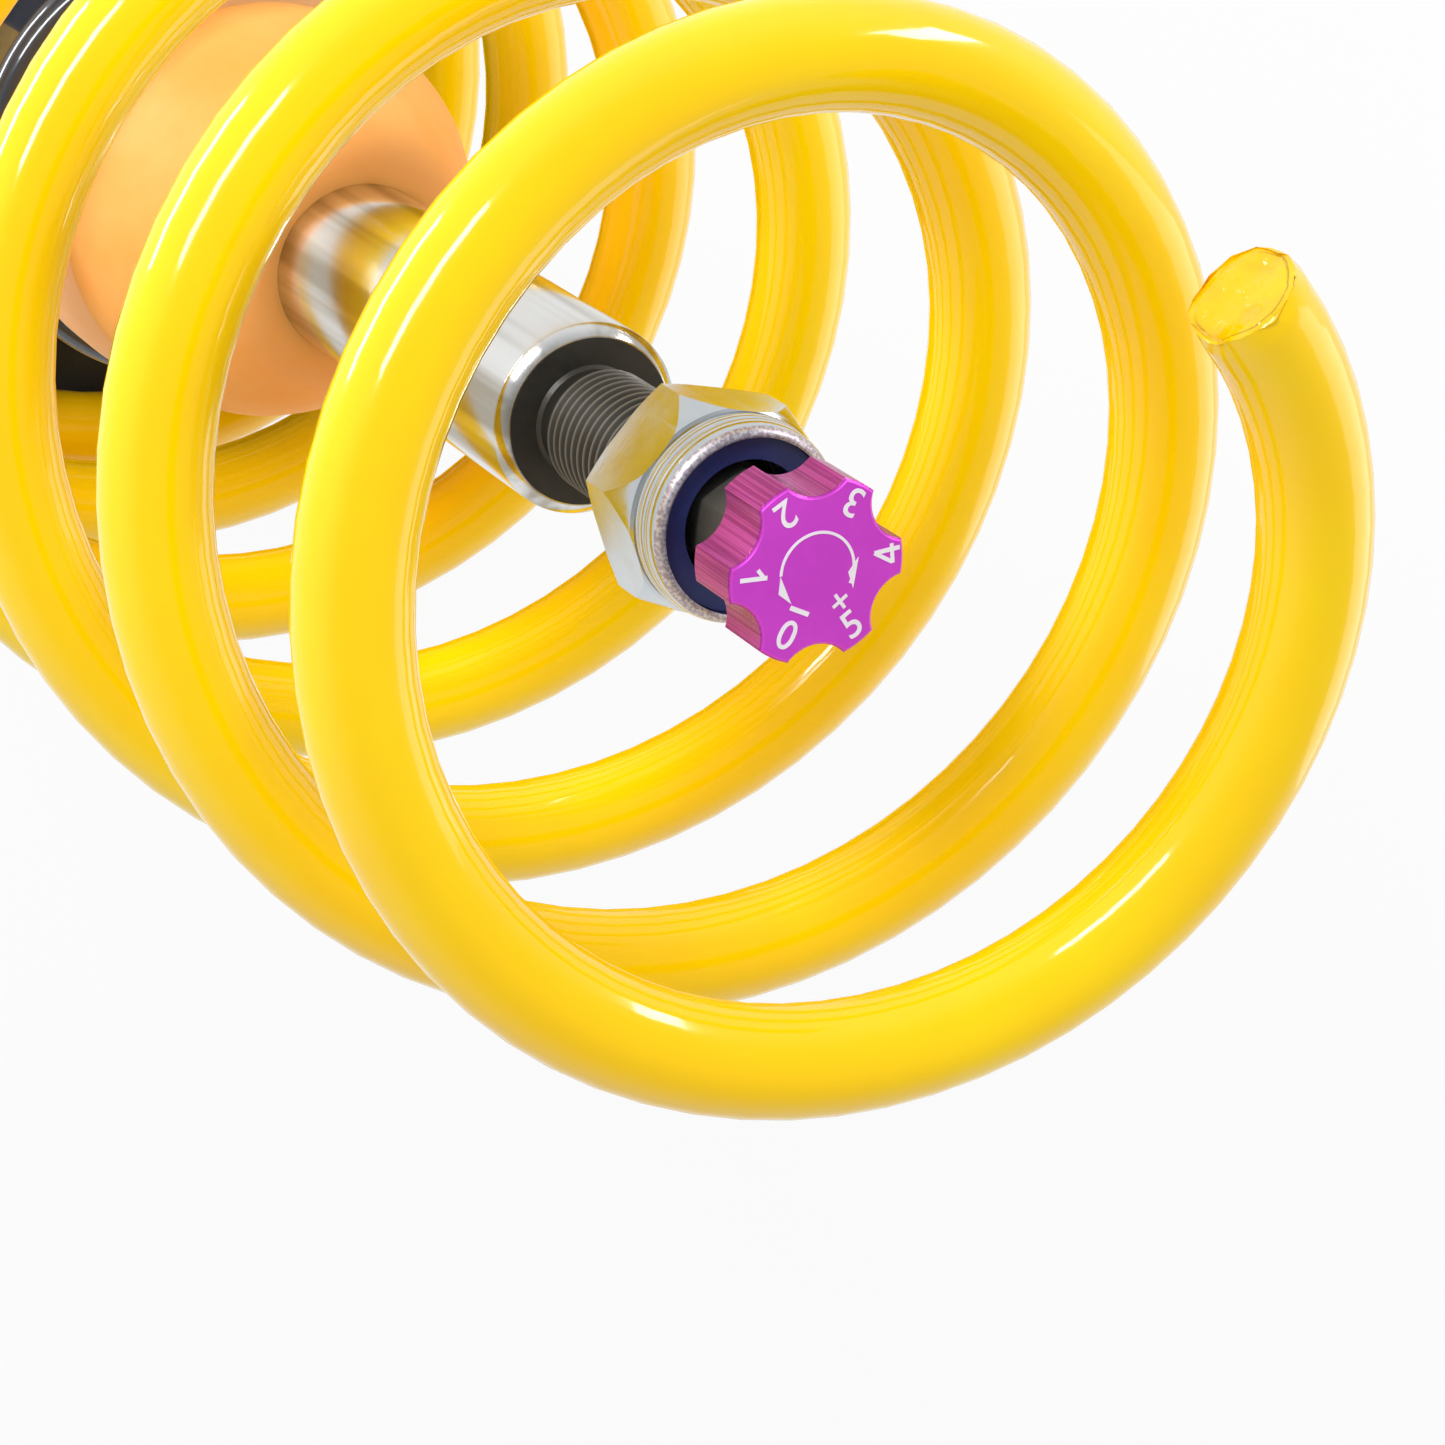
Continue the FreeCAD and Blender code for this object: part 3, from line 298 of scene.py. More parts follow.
def build_cloudy():
    """Slow drift of tone and a fine grain over a surface."""
    tree, source, sink = group(
        "cloudy_tone",
        [("Vector", "NodeSocketVector", None), ("Size", "NodeSocketFloat", 20.0),
         ("Grain", "NodeSocketFloat", 900.0)],
        [("Tone", "NodeSocketFloat"), ("Grain", "NodeSocketFloat")])
    tone = noise(tree, source.outputs["Vector"], source.outputs["Size"], 4.0, 0.6)
    grain = noise(tree, source.outputs["Vector"], source.outputs["Grain"], 2.0, 0.5)
    tree.links.new(tone, sink.inputs["Tone"])
    tree.links.new(grain, sink.inputs["Grain"])
    return tree


def build_lathe_marks():
    """Fine rings round the strut's axis, as a lathe or a grinding wheel leaves them."""
    tree, source, sink = group(
        "lathe_marks",
        [("Vector", "NodeSocketVector", None), ("Along", "NodeSocketFloat", 4000.0),
         ("Across", "NodeSocketFloat", 4000.0)],
        [("Height", "NodeSocketFloat")])
    split = tree.nodes.new("ShaderNodeSeparateXYZ")
    tree.links.new(source.outputs["Vector"], split.inputs[0])
    radius = distance_from_axis(tree, split.outputs)
    join = tree.nodes.new("ShaderNodeCombineXYZ")
    tree.links.new(math_node(tree, "MULTIPLY", radius, source.outputs["Across"]), join.inputs["X"])
    tree.links.new(math_node(tree, "MULTIPLY", split.outputs["Z"], source.outputs["Along"]),
                   join.inputs["Z"])
    rings = noise(tree, join.outputs[0], 1.0, 3.0, 0.6)
    tree.links.new(rings, sink.inputs["Height"])
    return tree


def build_handling():
    """Patches of duller and brighter finish with thin rubbed streaks."""
    tree, source, sink = group(
        "handling_marks",
        [("Vector", "NodeSocketVector", None), ("Size", "NodeSocketFloat", 60.0),
         ("Low", "NodeSocketFloat", 0.2), ("High", "NodeSocketFloat", 0.4)],
        [("Roughness", "NodeSocketFloat")])
    patches = noise(tree, source.outputs["Vector"], source.outputs["Size"], 5.0, 0.65)
    stretch = tree.nodes.new("ShaderNodeMapping")
    stretch.inputs["Scale"].default_value = (900, 900, 60)
    stretch.inputs["Rotation"].default_value = (0.5, 0.3, 0)
    tree.links.new(source.outputs["Vector"], stretch.inputs["Vector"])
    streaks = spread(tree, noise(tree, stretch.outputs[0], 1.0, 2.0), 0.62, 0.7, 0.0, 1.0)
    mask = math_node(tree, "ADD", math_node(tree, "MULTIPLY", streaks, 0.35), patches, clamp=True)
    tree.links.new(spread(tree, mask, 0.3, 0.75, source.outputs["Low"], source.outputs["High"]),
                   sink.inputs["Roughness"])
    return tree


CLOUDY = build_cloudy()
LATHE = build_lathe_marks()
HANDLING = build_handling()


def srgb(r, g, b):
    """A colour as it is seen on a screen, from 0 to 255, in the shader's own numbers."""
    return tuple(
        c / 255 / 12.92 if c <= 10 else ((c / 255 + 0.055) / 1.055) ** 2.4 for c in (r, g, b)
    )


class Finish:
    """A material with its shader and its object coordinates at hand."""

    def __init__(self, name, metallic=0.0, **sockets):
        self.material = bpy.data.materials.new(name)
        self.material.use_nodes = True
        self.tree = self.material.node_tree
        self.shader = self.tree.nodes["Principled BSDF"]
        self.shader.inputs["Metallic"].default_value = metallic
        for label, value in sockets.items():
            self.shader.inputs[label.replace("_", " ").title().replace("Ior", "IOR")
                               ].default_value = value
        self.where = self.tree.nodes.new("ShaderNodeTexCoord").outputs["Object"]

    def use(self, tree, **values):
        node = self.tree.nodes.new("ShaderNodeGroup")
        node.node_tree = tree
        self.tree.links.new(self.where, node.inputs["Vector"])
        for label, value in values.items():
            node.inputs[label].default_value = value
        return node.outputs

    def colour(self, value):
        self.tree.links.new(value, self.shader.inputs["Base Color"])

    def roughness(self, value):
        self.tree.links.new(value, self.shader.inputs["Roughness"])

    def bump(self, height, distance, strength):
        node = self.tree.nodes.new("ShaderNodeBump")
        node.inputs["Distance"].default_value = distance * MM
        node.inputs["Strength"].default_value = strength
        self.tree.links.new(height, node.inputs["Height"])
        self.tree.links.new(node.outputs[0], self.shader.inputs["Normal"])

    def axes(self):
        split = self.tree.nodes.new("ShaderNodeSeparateXYZ")
        self.tree.links.new(self.where, split.inputs[0])
        return split.outputs

    def radius(self):
        return distance_from_axis(self.tree, self.axes())

    def drawn_lines_and_painted_reflections(self, across, along, detail, roughness):
        """Noise that is fine across the strut's axis and long along it."""
        stretch = self.tree.nodes.new("ShaderNodeMapping")
        stretch.inputs["Scale"].default_value = (across, across, along)
        self.tree.links.new(self.where, stretch.inputs["Vector"])
        return noise(self.tree, stretch.outputs[0], 1.0, detail, roughness)


def coil_point(turn):
    """Centre of the wire at a number of turns from the upper end.

    The pitch is widest at the turn called mid, closes up from the turn called close, and the wire
    lies flat on the pad from the turn called flat. The radius draws in at both ends and flares a
    little at the cut one, and the winding leans and bows as it rises.
    """
    mid, close, flat = 3.19, 5.23, 6.29
    mid_pitch, top_pitch = 45.2, 31.8
    fall = (mid_pitch - top_pitch) / mid ** 2

    def lost(t):
        part = min(t, close)
        total = mid_pitch * part - fall * ((part - mid) ** 3 + mid ** 3) / 3
        if t > close:
            s = min((t - close) / (flat - close), 1)
            close_pitch = mid_pitch - fall * (close - mid) ** 2
            total += close_pitch * (flat - close) * (s - s ** 3 + s ** 4 / 2)
        return total

    top_draw = 12.72 * math.exp(-turn / 0.93)
    top_flare = 1.92 * math.exp(-turn / 0.15)
    foot_draw = 15 * math.exp((turn - WIRE_TURNS) / 0.45)
    radius = COIL_R - top_draw + top_flare - foot_draw
    rise = lost(WIRE_TURNS) - lost(turn)
    share = rise / lost(WIRE_TURNS)
    angle = math.radians(END_ANGLE) - math.tau * turn
    lean_x, lean_y = 2.8 * share, 3.1 * share
    bow = 2.6 * math.sin(math.pi * share)
    return Vector((
        radius * math.cos(angle) + lean_x,
        radius * math.sin(angle) + lean_y - bow,
        SPRING_SEAT_Z + WIRE_R + rise)) * MM


def spring_lacquer():
    """Thick glossy yellow lacquer, a little uneven, with a faint orange peel."""
    f = Finish("spring_lacquer", specular_ior_level=0.25, coat_weight=0.42, coat_roughness=0.02)
    tone = f.use(CLOUDY, Size=14.0, Grain=260.0)
    warm = blend_colour(f.tree, spread(f.tree, tone["Tone"], 0.35, 0.65, 0.0, 1.0),
                        srgb(255, 205, 0), srgb(255, 216, 0))
    f.colour(warm)
    f.roughness(f.use(HANDLING, Size=30.0, Low=0.1, High=0.17)["Roughness"])
    f.bump(tone["Grain"], 0.02, 0.25)
    return f.material


def lacquer_end():
    """The wire's cut end: pooled lacquer, uneven, with a thin line of painted shade round its lower
    rim.
    """
    f = Finish("lacquer_end", specular_ior_level=0.25, coat_weight=0.4, coat_roughness=0.03)
    tone = f.use(CLOUDY, Size=160.0, Grain=420.0)
    pooled = blend_colour(f.tree, spread(f.tree, tone["Tone"], 0.4, 0.6, 0.0, 1.0),
                          srgb(250, 190, 0), srgb(255, 203, 0))
    away = f.tree.nodes.new("ShaderNodeVectorMath")
    away.operation = "DISTANCE"
    away.inputs[1].default_value = coil_point(START_TURN)
    f.tree.links.new(f.where, away.inputs[0])
    rim = math_node(f.tree, "ADD", away.outputs["Value"],
                    math_node(f.tree, "MULTIPLY", tone["Tone"], 1.6 * MM))
    inner = spread(f.tree, rim, 5.75 * MM, 5.95 * MM, 0.0, 1.0)
    outer = spread(f.tree, rim, 5.95 * MM, 6.15 * MM, 0.8, 0.0)
    # Across the end towards the side where the painted shade line runs.
    lower_side = Vector((0.625, 0.574, 0.53))
    along = f.tree.nodes.new("ShaderNodeVectorMath")
    along.operation = "DOT_PRODUCT"
    along.inputs[1].default_value = lower_side
    f.tree.links.new(f.where, along.inputs[0])
    middle = coil_point(START_TURN).dot(lower_side)
    lower = spread(f.tree, along.outputs["Value"], middle - 2.5 * MM, middle + 0.5 * MM, 0.0, 1.0)
    # Painted shade: a thin darker olive line in the crease along the lower rim of the end.
    line = math_node(f.tree, "MULTIPLY", math_node(f.tree, "MULTIPLY", inner, outer), lower)
    f.colour(blend_colour(f.tree, line, pooled, srgb(158, 134, 8)))
    f.roughness(f.use(HANDLING, Size=90.0, Low=0.08, High=0.16)["Roughness"])
    f.bump(tone["Tone"], 1.1, 0.8)
    return f.material


def ground_chrome():
    """Hard chrome, ground round the rod, with the finest of rings, and painted reflections in long
    bands along it.
    """
    f = Finish("ground_chrome", metallic=1.0)
    f.roughness(f.use(HANDLING, Size=40.0, Low=0.07, High=0.14)["Roughness"])
    f.bump(f.use(LATHE, Along=9000.0, Across=0.0)["Height"], 0.002, 0.3)
    # Painted reflections: long brownish and white bands along the rod stand in for the coils and the
    # room mirrored in the chrome.
    painted_reflection_bands = spread(f.tree, f.drawn_lines_and_painted_reflections(190, 5, 3.0, 0.55), 0.36, 0.62, 0.0, 1.0)
    f.colour(blend_colour(f.tree, painted_reflection_bands, srgb(168, 162, 148), srgb(222, 223, 222)))
    return f.material


def black_phosphate(name, low, high):
    """Black, slightly oily phosphate on the rod's shoulder, thread and hexagon tip."""
    f = Finish(name, metallic=0.35)
    tone = f.use(CLOUDY, Size=180.0, Grain=2500.0)
    dark = blend_colour(f.tree, tone["Tone"], low, high)
    crest = spread(f.tree, f.radius(), (SPIGOT_R - 0.2) * MM, (SPIGOT_R - 0.06) * MM, 0.0, 1.0)
    z = f.axes()["Z"]
    slim = spread(f.tree, z, RELIEF_TOP_Z * MM, (RELIEF_TOP_Z + 0.8) * MM, 0.0, 1.0)
    f.colour(blend_colour(f.tree, math_node(f.tree, "MULTIPLY", crest, slim), dark,
                          srgb(98, 96, 91)))
    f.roughness(f.use(HANDLING, Size=150.0, Low=0.34, High=0.55)["Roughness"])
    f.bump(tone["Grain"], 0.02, 0.35)
    return f.material


def bright_zinc(name, ring_depth):
    """Blue-white zinc plating on turned steel, with the lathe's rings under it."""
    f = Finish(name, metallic=1.0)
    tone = f.use(CLOUDY, Size=110.0, Grain=2600.0)
    f.colour(blend_colour(f.tree, tone["Tone"], srgb(176, 184, 192), srgb(218, 222, 222)))
    f.roughness(f.use(HANDLING, Size=120.0, Low=0.08, High=0.17)["Roughness"])
    rings = f.use(LATHE, Along=1500.0, Across=1500.0)["Height"]
    f.bump(math_node(f.tree, "ADD", rings, math_node(f.tree, "MULTIPLY", tone["Grain"], 0.4)),
           ring_depth, 0.5)
    return f.material


def crimped_zinc():
    """The nut's rolled rim: speckled, faintly purple zinc."""
    f = Finish("crimped_zinc", metallic=0.85)
    tone = f.use(CLOUDY, Size=600.0, Grain=2600.0)
    speck = spread(f.tree, tone["Grain"], 0.4, 0.62, 0.0, 1.0)
    f.colour(blend_colour(f.tree, speck, srgb(166, 156, 172), srgb(206, 206, 212)))
    f.roughness(f.use(HANDLING, Size=400.0, Low=0.32, High=0.5)["Roughness"])
    f.bump(tone["Grain"], 0.06, 0.5)
    return f.material


def plain_steel(name, dark, light, low, high, metallic=1.0):
    """Turned surface in two close tones, its roughness between low and high."""
    f = Finish(name, metallic=metallic)
    tone = f.use(CLOUDY, Size=120.0, Grain=2000.0)
    f.colour(blend_colour(f.tree, tone["Tone"], dark, light))
    f.roughness(f.use(HANDLING, Size=90.0, Low=low, High=high)["Roughness"])
    rings = f.use(LATHE, Along=1800.0, Across=1800.0)["Height"]
    f.bump(rings, 0.015, 0.4)
    return f.material


def purple_anodising():
    """Magenta anodised bar: lines along the drawn sides, a fine satin face; the sides are painted
    darker as shade and the face lighter as light.
    """
    f = Finish("purple_anodising", metallic=0.5)
    z = f.axes()["Z"]
    face = spread(f.tree, z, (KNOB_FACE_Z - 0.35) * MM, (KNOB_FACE_Z - 0.02) * MM, 0.0, 1.0)
    tone = f.use(CLOUDY, Size=200.0, Grain=4000.0)
    # Painted shade on the sides and painted light on the face: one anodising in a dark and a light
    # copy.
    side = blend_colour(f.tree, tone["Tone"], srgb(128, 20, 108), srgb(160, 34, 134))
    front = blend_colour(f.tree, tone["Tone"], srgb(220, 66, 218), srgb(236, 80, 236))
    lines = f.drawn_lines_and_painted_reflections(3200, 30, 2.0, 0.6)
    side = blend_colour(f.tree, spread(f.tree, lines, 0.4, 0.6, 0.0, 0.75), side,
                        srgb(190, 72, 164))
    f.colour(blend_colour(f.tree, face, side, front))
    sides = math_node(f.tree, "MULTIPLY", lines, math_node(f.tree, "SUBTRACT", 1.0, face))
    f.bump(math_node(f.tree, "ADD", sides, math_node(f.tree, "MULTIPLY", tone["Grain"], 0.12)),
           0.12, 0.8)
    f.roughness(spread(f.tree, face, 0.0, 1.0, 0.26, 0.42))
    return f.material


def grained(name, dark, light, size, grain, marks, low, high, depth, strength, metallic=0.0,
            **sockets):
    """A surface in two close tones with handling marks on it and a fine grain in relief."""
    f = Finish(name, metallic, **sockets)
    tone = f.use(CLOUDY, Size=size, Grain=grain)
    f.colour(blend_colour(f.tree, tone["Tone"], dark, light))
    f.roughness(f.use(HANDLING, Size=marks, Low=low, High=high)["Roughness"])
    f.bump(tone["Grain"], depth, strength)
    return f.material


def foam_orange():
    """Microcellular foam with a matt skin, darker with painted shade in its hollow at the nose round
    the rod, and paler with painted light on its foot.
    """
    f = Finish("foam_orange", specular_ior_level=0.2, subsurface_weight=0.15, subsurface_scale=0.004)
    tone = f.use(CLOUDY, Size=38.0, Grain=1400.0)
    face = blend_colour(f.tree, spread(f.tree, tone["Tone"], 0.3, 0.7, 0.0, 1.0),
                        srgb(245, 167, 78), srgb(251, 185, 104))
    z = f.axes()["Z"]
    # Painted light: the foot is paler, as light falls on its rounded bulge.
    foot = spread(f.tree, z, 350 * MM, 355 * MM, 0.8, 0.0)
    # Painted shade: browner towards the nose, where the foam meets the rod.
    painted_shade_near_rod = spread(f.tree, z, 383 * MM, 392 * MM, 0.0, 0.3)
    face = blend_colour(f.tree, painted_shade_near_rod, face, srgb(214, 150, 96))
    f.colour(blend_colour(f.tree, foot, face, srgb(250, 205, 165)))
    f.roughness(f.use(HANDLING, Size=50.0, Low=0.5, High=0.7)["Roughness"])
    f.bump(tone["Grain"], 0.05, 0.3)
    return f.material


def white_ink():
    """Printed white of the dial's marks."""
    f = Finish("white_ink", roughness=0.5)
    tone = f.use(CLOUDY, Size=900.0, Grain=4000.0)
    f.colour(blend_colour(f.tree, tone["Tone"], srgb(226, 220, 232), srgb(250, 248, 252)))
    f.bump(tone["Grain"], 0.01, 0.3)
    return f.material


FINISHES = {
    "spring_paint": spring_lacquer(),
    # A satin powder coating.
    "tube_paint": grained("satin_black", srgb(30, 30, 32), srgb(44, 44, 47), 24.0, 1100.0,
                          marks=45.0, low=0.32, high=0.5, depth=0.04, strength=0.4),
    # A glossy blue-black coating.
    "cap_gloss": grained("gloss_black", srgb(38, 43, 53), srgb(56, 62, 74), 30.0, 500.0,
                         marks=60.0, low=0.1, high=0.2, depth=0.01, strength=0.3,
                         coat_weight=0.5, coat_roughness=0.04),
    "chrome_rod": ground_chrome(),
    "zinc_plate": bright_zinc("bright_zinc", 0.008),
    "steel": plain_steel("plain_steel", srgb(140, 141, 143), srgb(176, 177, 178), 0.25, 0.42),
    "spring_steel": plain_steel("blued_steel", srgb(110, 114, 122), srgb(150, 152, 156), 0.2, 0.34),
    "sintered": plain_steel("sintered_iron", srgb(86, 86, 88), srgb(120, 119, 118), 0.45, 0.65),
    "black_oxide": plain_steel("black_oxide", srgb(38, 38, 40), srgb(62, 62, 64), 0.3, 0.46),
    "bronze": plain_steel("bronze", srgb(168, 122, 62), srgb(200, 154, 90), 0.22, 0.38),
    "band_polymer": plain_steel("brown_polymer", srgb(88, 62, 44), srgb(112, 82, 58), 0.4, 0.6, 0.0),
    # The dark blue ring of the lock nut.
    "nylon": grained("nylon_navy", srgb(26, 34, 80), srgb(44, 56, 112), 150.0, 1500.0,
                     marks=120.0, low=0.24, high=0.4, depth=0.02, strength=0.3),
    "anodised": purple_anodising(),
    # Aluminium, blasted and clear-anodised.
    "perch_alloy": grained("cast_alloy", srgb(176, 178, 182), srgb(204, 206, 208), 40.0, 1500.0,
                           marks=70.0, low=0.3, high=0.48, depth=0.05, strength=0.4,
                           metallic=0.9),
    "foam": foam_orange(),
}
for slot in ("pad_rubber", "seal_rubber"):
    FINISHES[slot] = grained(slot, srgb(24, 24, 25), srgb(40, 40, 41), 60.0, 1600.0,
                             marks=80.0, low=0.5, high=0.75, depth=0.04, strength=0.4)
PHOSPHATE = black_phosphate("black_phosphate", srgb(36, 36, 35), srgb(64, 63, 60))
# A lighter copy of the phosphate for the hexagon tip, as painted light: the tip sits in the knob's
# shade.
PAINTED_LIGHT_PHOSPHATE = black_phosphate("painted_light_phosphate", srgb(78, 77, 73), srgb(118, 116, 110))
CRIMPED = crimped_zinc()
INK = white_ink()

slot_of = {s["node"]: s["material_slot"] for s in frame["record"]["subparts"]}
for node, obj in nodes.items():
    for material_slot in obj.material_slots:
        material_slot.material = FINISHES[slot_of[node]]


def place(piece, body, slot, material=None, replaced=None):
    """Hands a finished piece to the body it moves with."""
    piece.data.materials.clear()
    piece.data.materials.append(material or FINISHES[slot])
    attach(piece, body)
    if replaced:
        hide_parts(replaced)


# The rod: ground bar, black shoulder and spigot, thread, hexagon tip.

rod_bar = turned("rod_bar", [
    (NEEDLE_HOLE_R, ROD_FOOT_Z), (STUD_R, ROD_FOOT_Z), (STUD_R, STUD_TOP_Z), (ROD_R, STUD_TOP_Z),
    (ROD_R, GROOVE_LOW_Z), (ROD_GROOVE_R, GROOVE_LOW_Z), (ROD_GROOVE_R, GROOVE_TOP_Z),
    (ROD_R, GROOVE_TOP_Z), (ROD_R, SHOULDER_Z - 1.3), (SHOULDER_R, SHOULDER_Z - 0.02),
    (RECESS_R, SHOULDER_Z - 0.02), (RECESS_R, SHOULDER_Z - 4), (SHAFT_HOLE_R, SHOULDER_Z - 4),
    (SHAFT_HOLE_R, STUD_TOP_Z - 5.5), (NEEDLE_HOLE_R, STUD_TOP_Z - 7),
], edge=0.08)
place(rod_bar, "rod", "chrome_rod", replaced="piston_rod")

rod_spigot = turned("rod_spigot", [
    (SHAFT_HOLE_R, SHOULDER_Z - 3.98), (RECESS_R - 0.02, SHOULDER_Z - 3.98),
    (RECESS_R - 0.02, SHOULDER_Z),
    (9.55, SHOULDER_Z), (9.55, SHOULDER_Z + 0.06), (6.5, SHOULDER_Z + 0.06),
    (6.1, SHOULDER_Z + 0.5), (6.1, RELIEF_TOP_Z - 0.4),
    (THREAD_ROOT_R + 0.03, RELIEF_TOP_Z), (THREAD_ROOT_R + 0.03, SPIGOT_TOP_Z - 0.6),
    (5.5, SPIGOT_TOP_Z), (SHAFT_HOLE_R, SPIGOT_TOP_Z),
])
place(rod_spigot, "rod", "chrome_rod", PHOSPHATE)
rod_thread = thread("rod_thread", THREAD_ROOT_R, SPIGOT_R - 0.02, THREAD_PITCH,
                    RELIEF_TOP_Z - 0.3, turns=19, steps=72)
place(rod_thread, "rod", "chrome_rod", PHOSPHATE)

deselect()
bpy.ops.mesh.primitive_cylinder_add(
    vertices=6, radius=TIP_HALF_FLATS / math.cos(math.pi / 6) * MM,
    depth=(TIP_TOP_Z - SPIGOT_TOP_Z) * MM,
    location=(0, 0, (TIP_TOP_Z + SPIGOT_TOP_Z) / 2 * MM), rotation=(0, 0, math.radians(30)))
rod_tip = named("rod_tip")
apply_all(rod_tip)
soften(rod_tip, 0.35, 3)
deselect()
bpy.ops.mesh.primitive_cylinder_add(vertices=48, radius=SHAFT_HOLE_R * MM, depth=30 * MM,
                                    location=(0, 0, SPIGOT_TOP_Z * MM))
carve(rod_tip, bpy.context.object)
smooth(rod_tip)
# The hexagon tip takes the phosphate's lighter copy, painted light.
place(rod_tip, "rod", "chrome_rod", PAINTED_LIGHT_PHOSPHATE)

# The lock nut: a turned blank cut to a hexagon, its rim rolled over the nylon ring.

NUT_LOW_Z = SHOULDER_Z + 25
NUT_TOP_Z = NUT_LOW_Z + 14
nut_corner = NUT_HALF_FLATS / math.cos(math.pi / 6)
lock_nut = turned("lock_nut", [
    (7.1, NUT_LOW_Z + 0.9), (7.9, NUT_LOW_Z), (11.3, NUT_LOW_Z), (13.2, NUT_LOW_Z + 1.1),
    (13.2, NUT_LOW_Z + 4.6), (12.7, NUT_LOW_Z + 5.0), (11.55, NUT_LOW_Z + 8.5),
    (11.3, NUT_LOW_Z + 9.1), (11.0, NUT_LOW_Z + 9.35), (10.78, NUT_LOW_Z + 9.4),
    (10.66, NUT_LOW_Z + 9.62), (10.7, NUT_LOW_Z + 9.9), (10.98, NUT_LOW_Z + 10.05),
    (11.04, NUT_LOW_Z + 10.4), (10.96, NUT_LOW_Z + 11.1), (10.82, NUT_LOW_Z + 11.35),
    (10.86, NUT_LOW_Z + 11.55), (10.85, NUT_LOW_Z + 12.4), (10.6, NUT_TOP_Z - 0.75),
    (10.3, NUT_TOP_Z - 0.3), (9.98, NUT_TOP_Z - 0.06), (9.75, NUT_TOP_Z), (9.52, NUT_TOP_Z - 0.12),
    (9.5, NUT_TOP_Z - 0.5), (9.5, NUT_LOW_Z + 8.4), (7.1, NUT_LOW_Z + 8.4),
], steps=144)
deselect()
bpy.ops.mesh.primitive_cylinder_add(vertices=6, radius=nut_corner * MM, depth=0.04,
                                    location=(0, 0, NUT_LOW_Z * MM),
                                    rotation=(0, 0, math.radians(30 + NUT_TURN)))
hexagon = named("nut_hexagon")
apply_all(hexagon)
carve(lock_nut, hexagon, "INTERSECT")
smooth(lock_nut, 24)
place(lock_nut, "rod", "zinc_plate", replaced="top_nut")
lock_nut.data.materials.append(CRIMPED)
for face in lock_nut.data.polygons:
    if face.center.z > (NUT_TOP_Z - 0.8) * MM and abs(face.normal.z) > 0.15:
        face.material_index = 1

# The bump stop: foam foot, waist and nose round the rod.

bump_stop = turned("foam_stop", [
    (11.35, 334.6), (27.2, 334.5), (28.2, 335.4), (28.5, 338), (28.5, 345), (28.2, 347.6),
    (27.3, 349.5), (26.1, 350.9), (25.5, 352.2), (25.5, 353.6), (26.1, 355.2), (26.7, 357.6),
    (26.9, 360.4), (26.8, 363.2), (26.3, 366), (25.3, 369), (23.9, 372.4), (22.1, 376.2),
    (20.1, 380.2), (18.0, 384.3), (16.1, 387.8), (14.6, 390.1), (13.3, 391.6), (12.3, 392.3),
    (11.5, 392.6), (ROD_R + 0.01, 392.64), (ROD_R + 0.01, 387), (11.35, 384),
], steps=160)
smooth(bump_stop, 60)
place(bump_stop, "bump_stop", "foam", replaced="bump_stop")


# The spring: one wire, its upper end cut off and lumpy under the lacquer.

def wound_wire(name, per_turn=64):
    """The spring's wire as one tube along its winding, its ends cut flat and capped."""
    count = int(WIRE_TURNS * per_turn)
    line = bpy.data.curves.new(name, "CURVE")
    line.dimensions = "3D"
    line.bevel_depth = WIRE_R * MM
    line.bevel_resolution = 10
    line.use_fill_caps = True
    line.twist_mode = "MINIMUM"
    run = line.splines.new("POLY")
    run.points.add(count + 1)
    run.points[0].co = (*coil_point(START_TURN), 1)
    for i in range(count + 1):
        run.points[i + 1].co = (*coil_point(WIRE_TURNS * i / count), 1)
    wire = bpy.data.objects.new(name, line)
    bpy.context.scene.collection.objects.link(wire)
    pick(wire)
    bpy.ops.object.convert(target="MESH")
    return bpy.context.object


spring_wire = wound_wire("spring_wire")
edit(spring_wire)
close_up()
soften(spring_wire, 1.6, 5, 60)
end_point = coil_point(START_TURN)
end_way = (end_point - coil_point(0.01)).normalized()


def ahead_of_end(point):
    """How far a point of the wire lies in front of its cut end, below zero behind it."""
    return (point - end_point).dot(end_way)


def dent_end(wire):
    """Rings the cut end's face with edges, then pushes it in and out in soft lumps."""
    pick(wire)
    for edge in wire.data.edges:
        edge.select = False
    for face in wire.data.polygons:
        face.select = (face.center - end_point).length < MM and face.normal.dot(end_way) > 0.9
        if face.select:
            for corner in face.vertices:
                wire.data.vertices[corner].select = True
    bpy.ops.object.mode_set(mode="EDIT")
    bpy.ops.mesh.select_mode(type="FACE")
    for _ in range(5):
        bpy.ops.mesh.inset(thickness=0.8 * MM)
    bpy.ops.mesh.select_mode(type="VERT")
    bpy.ops.object.mode_set(mode="OBJECT")
    full, none = -0.6 * MM, -2.2 * MM
    cut_end = wire.vertex_groups.new(name="cut_end")
    for point in wire.data.vertices:
        ahead = ahead_of_end(point.co)
        if (point.co - end_point).length < 8 * MM and abs(ahead) < -none:
            cut_end.add([point.index], min(1, (ahead - none) / (full - none)), "REPLACE")
    lumps = bpy.data.textures.new("end_lumps", "CLOUDS")
    lumps.noise_scale = 4.2 * MM
    lumps.noise_depth = 1
    dents = wire.modifiers.new("dents", "DISPLACE")
    dents.texture = lumps
    dents.vertex_group = "cut_end"
    dents.mid_level = 0.72
    dents.strength = 2.3 * MM
    apply_all(wire)


dent_end(spring_wire)
smooth(spring_wire, 50)
place(spring_wire, "spring_carrier", "spring_paint", replaced="main_spring")
spring_wire.data.materials.append(lacquer_end())
for face in spring_wire.data.polygons:
    near = (face.center - end_point).length < 5.95 * MM
    if near and ahead_of_end(face.center) > -0.9 * MM:
        face.material_index = 1

# The threaded sleeve: a plain core and the thread wound on it.

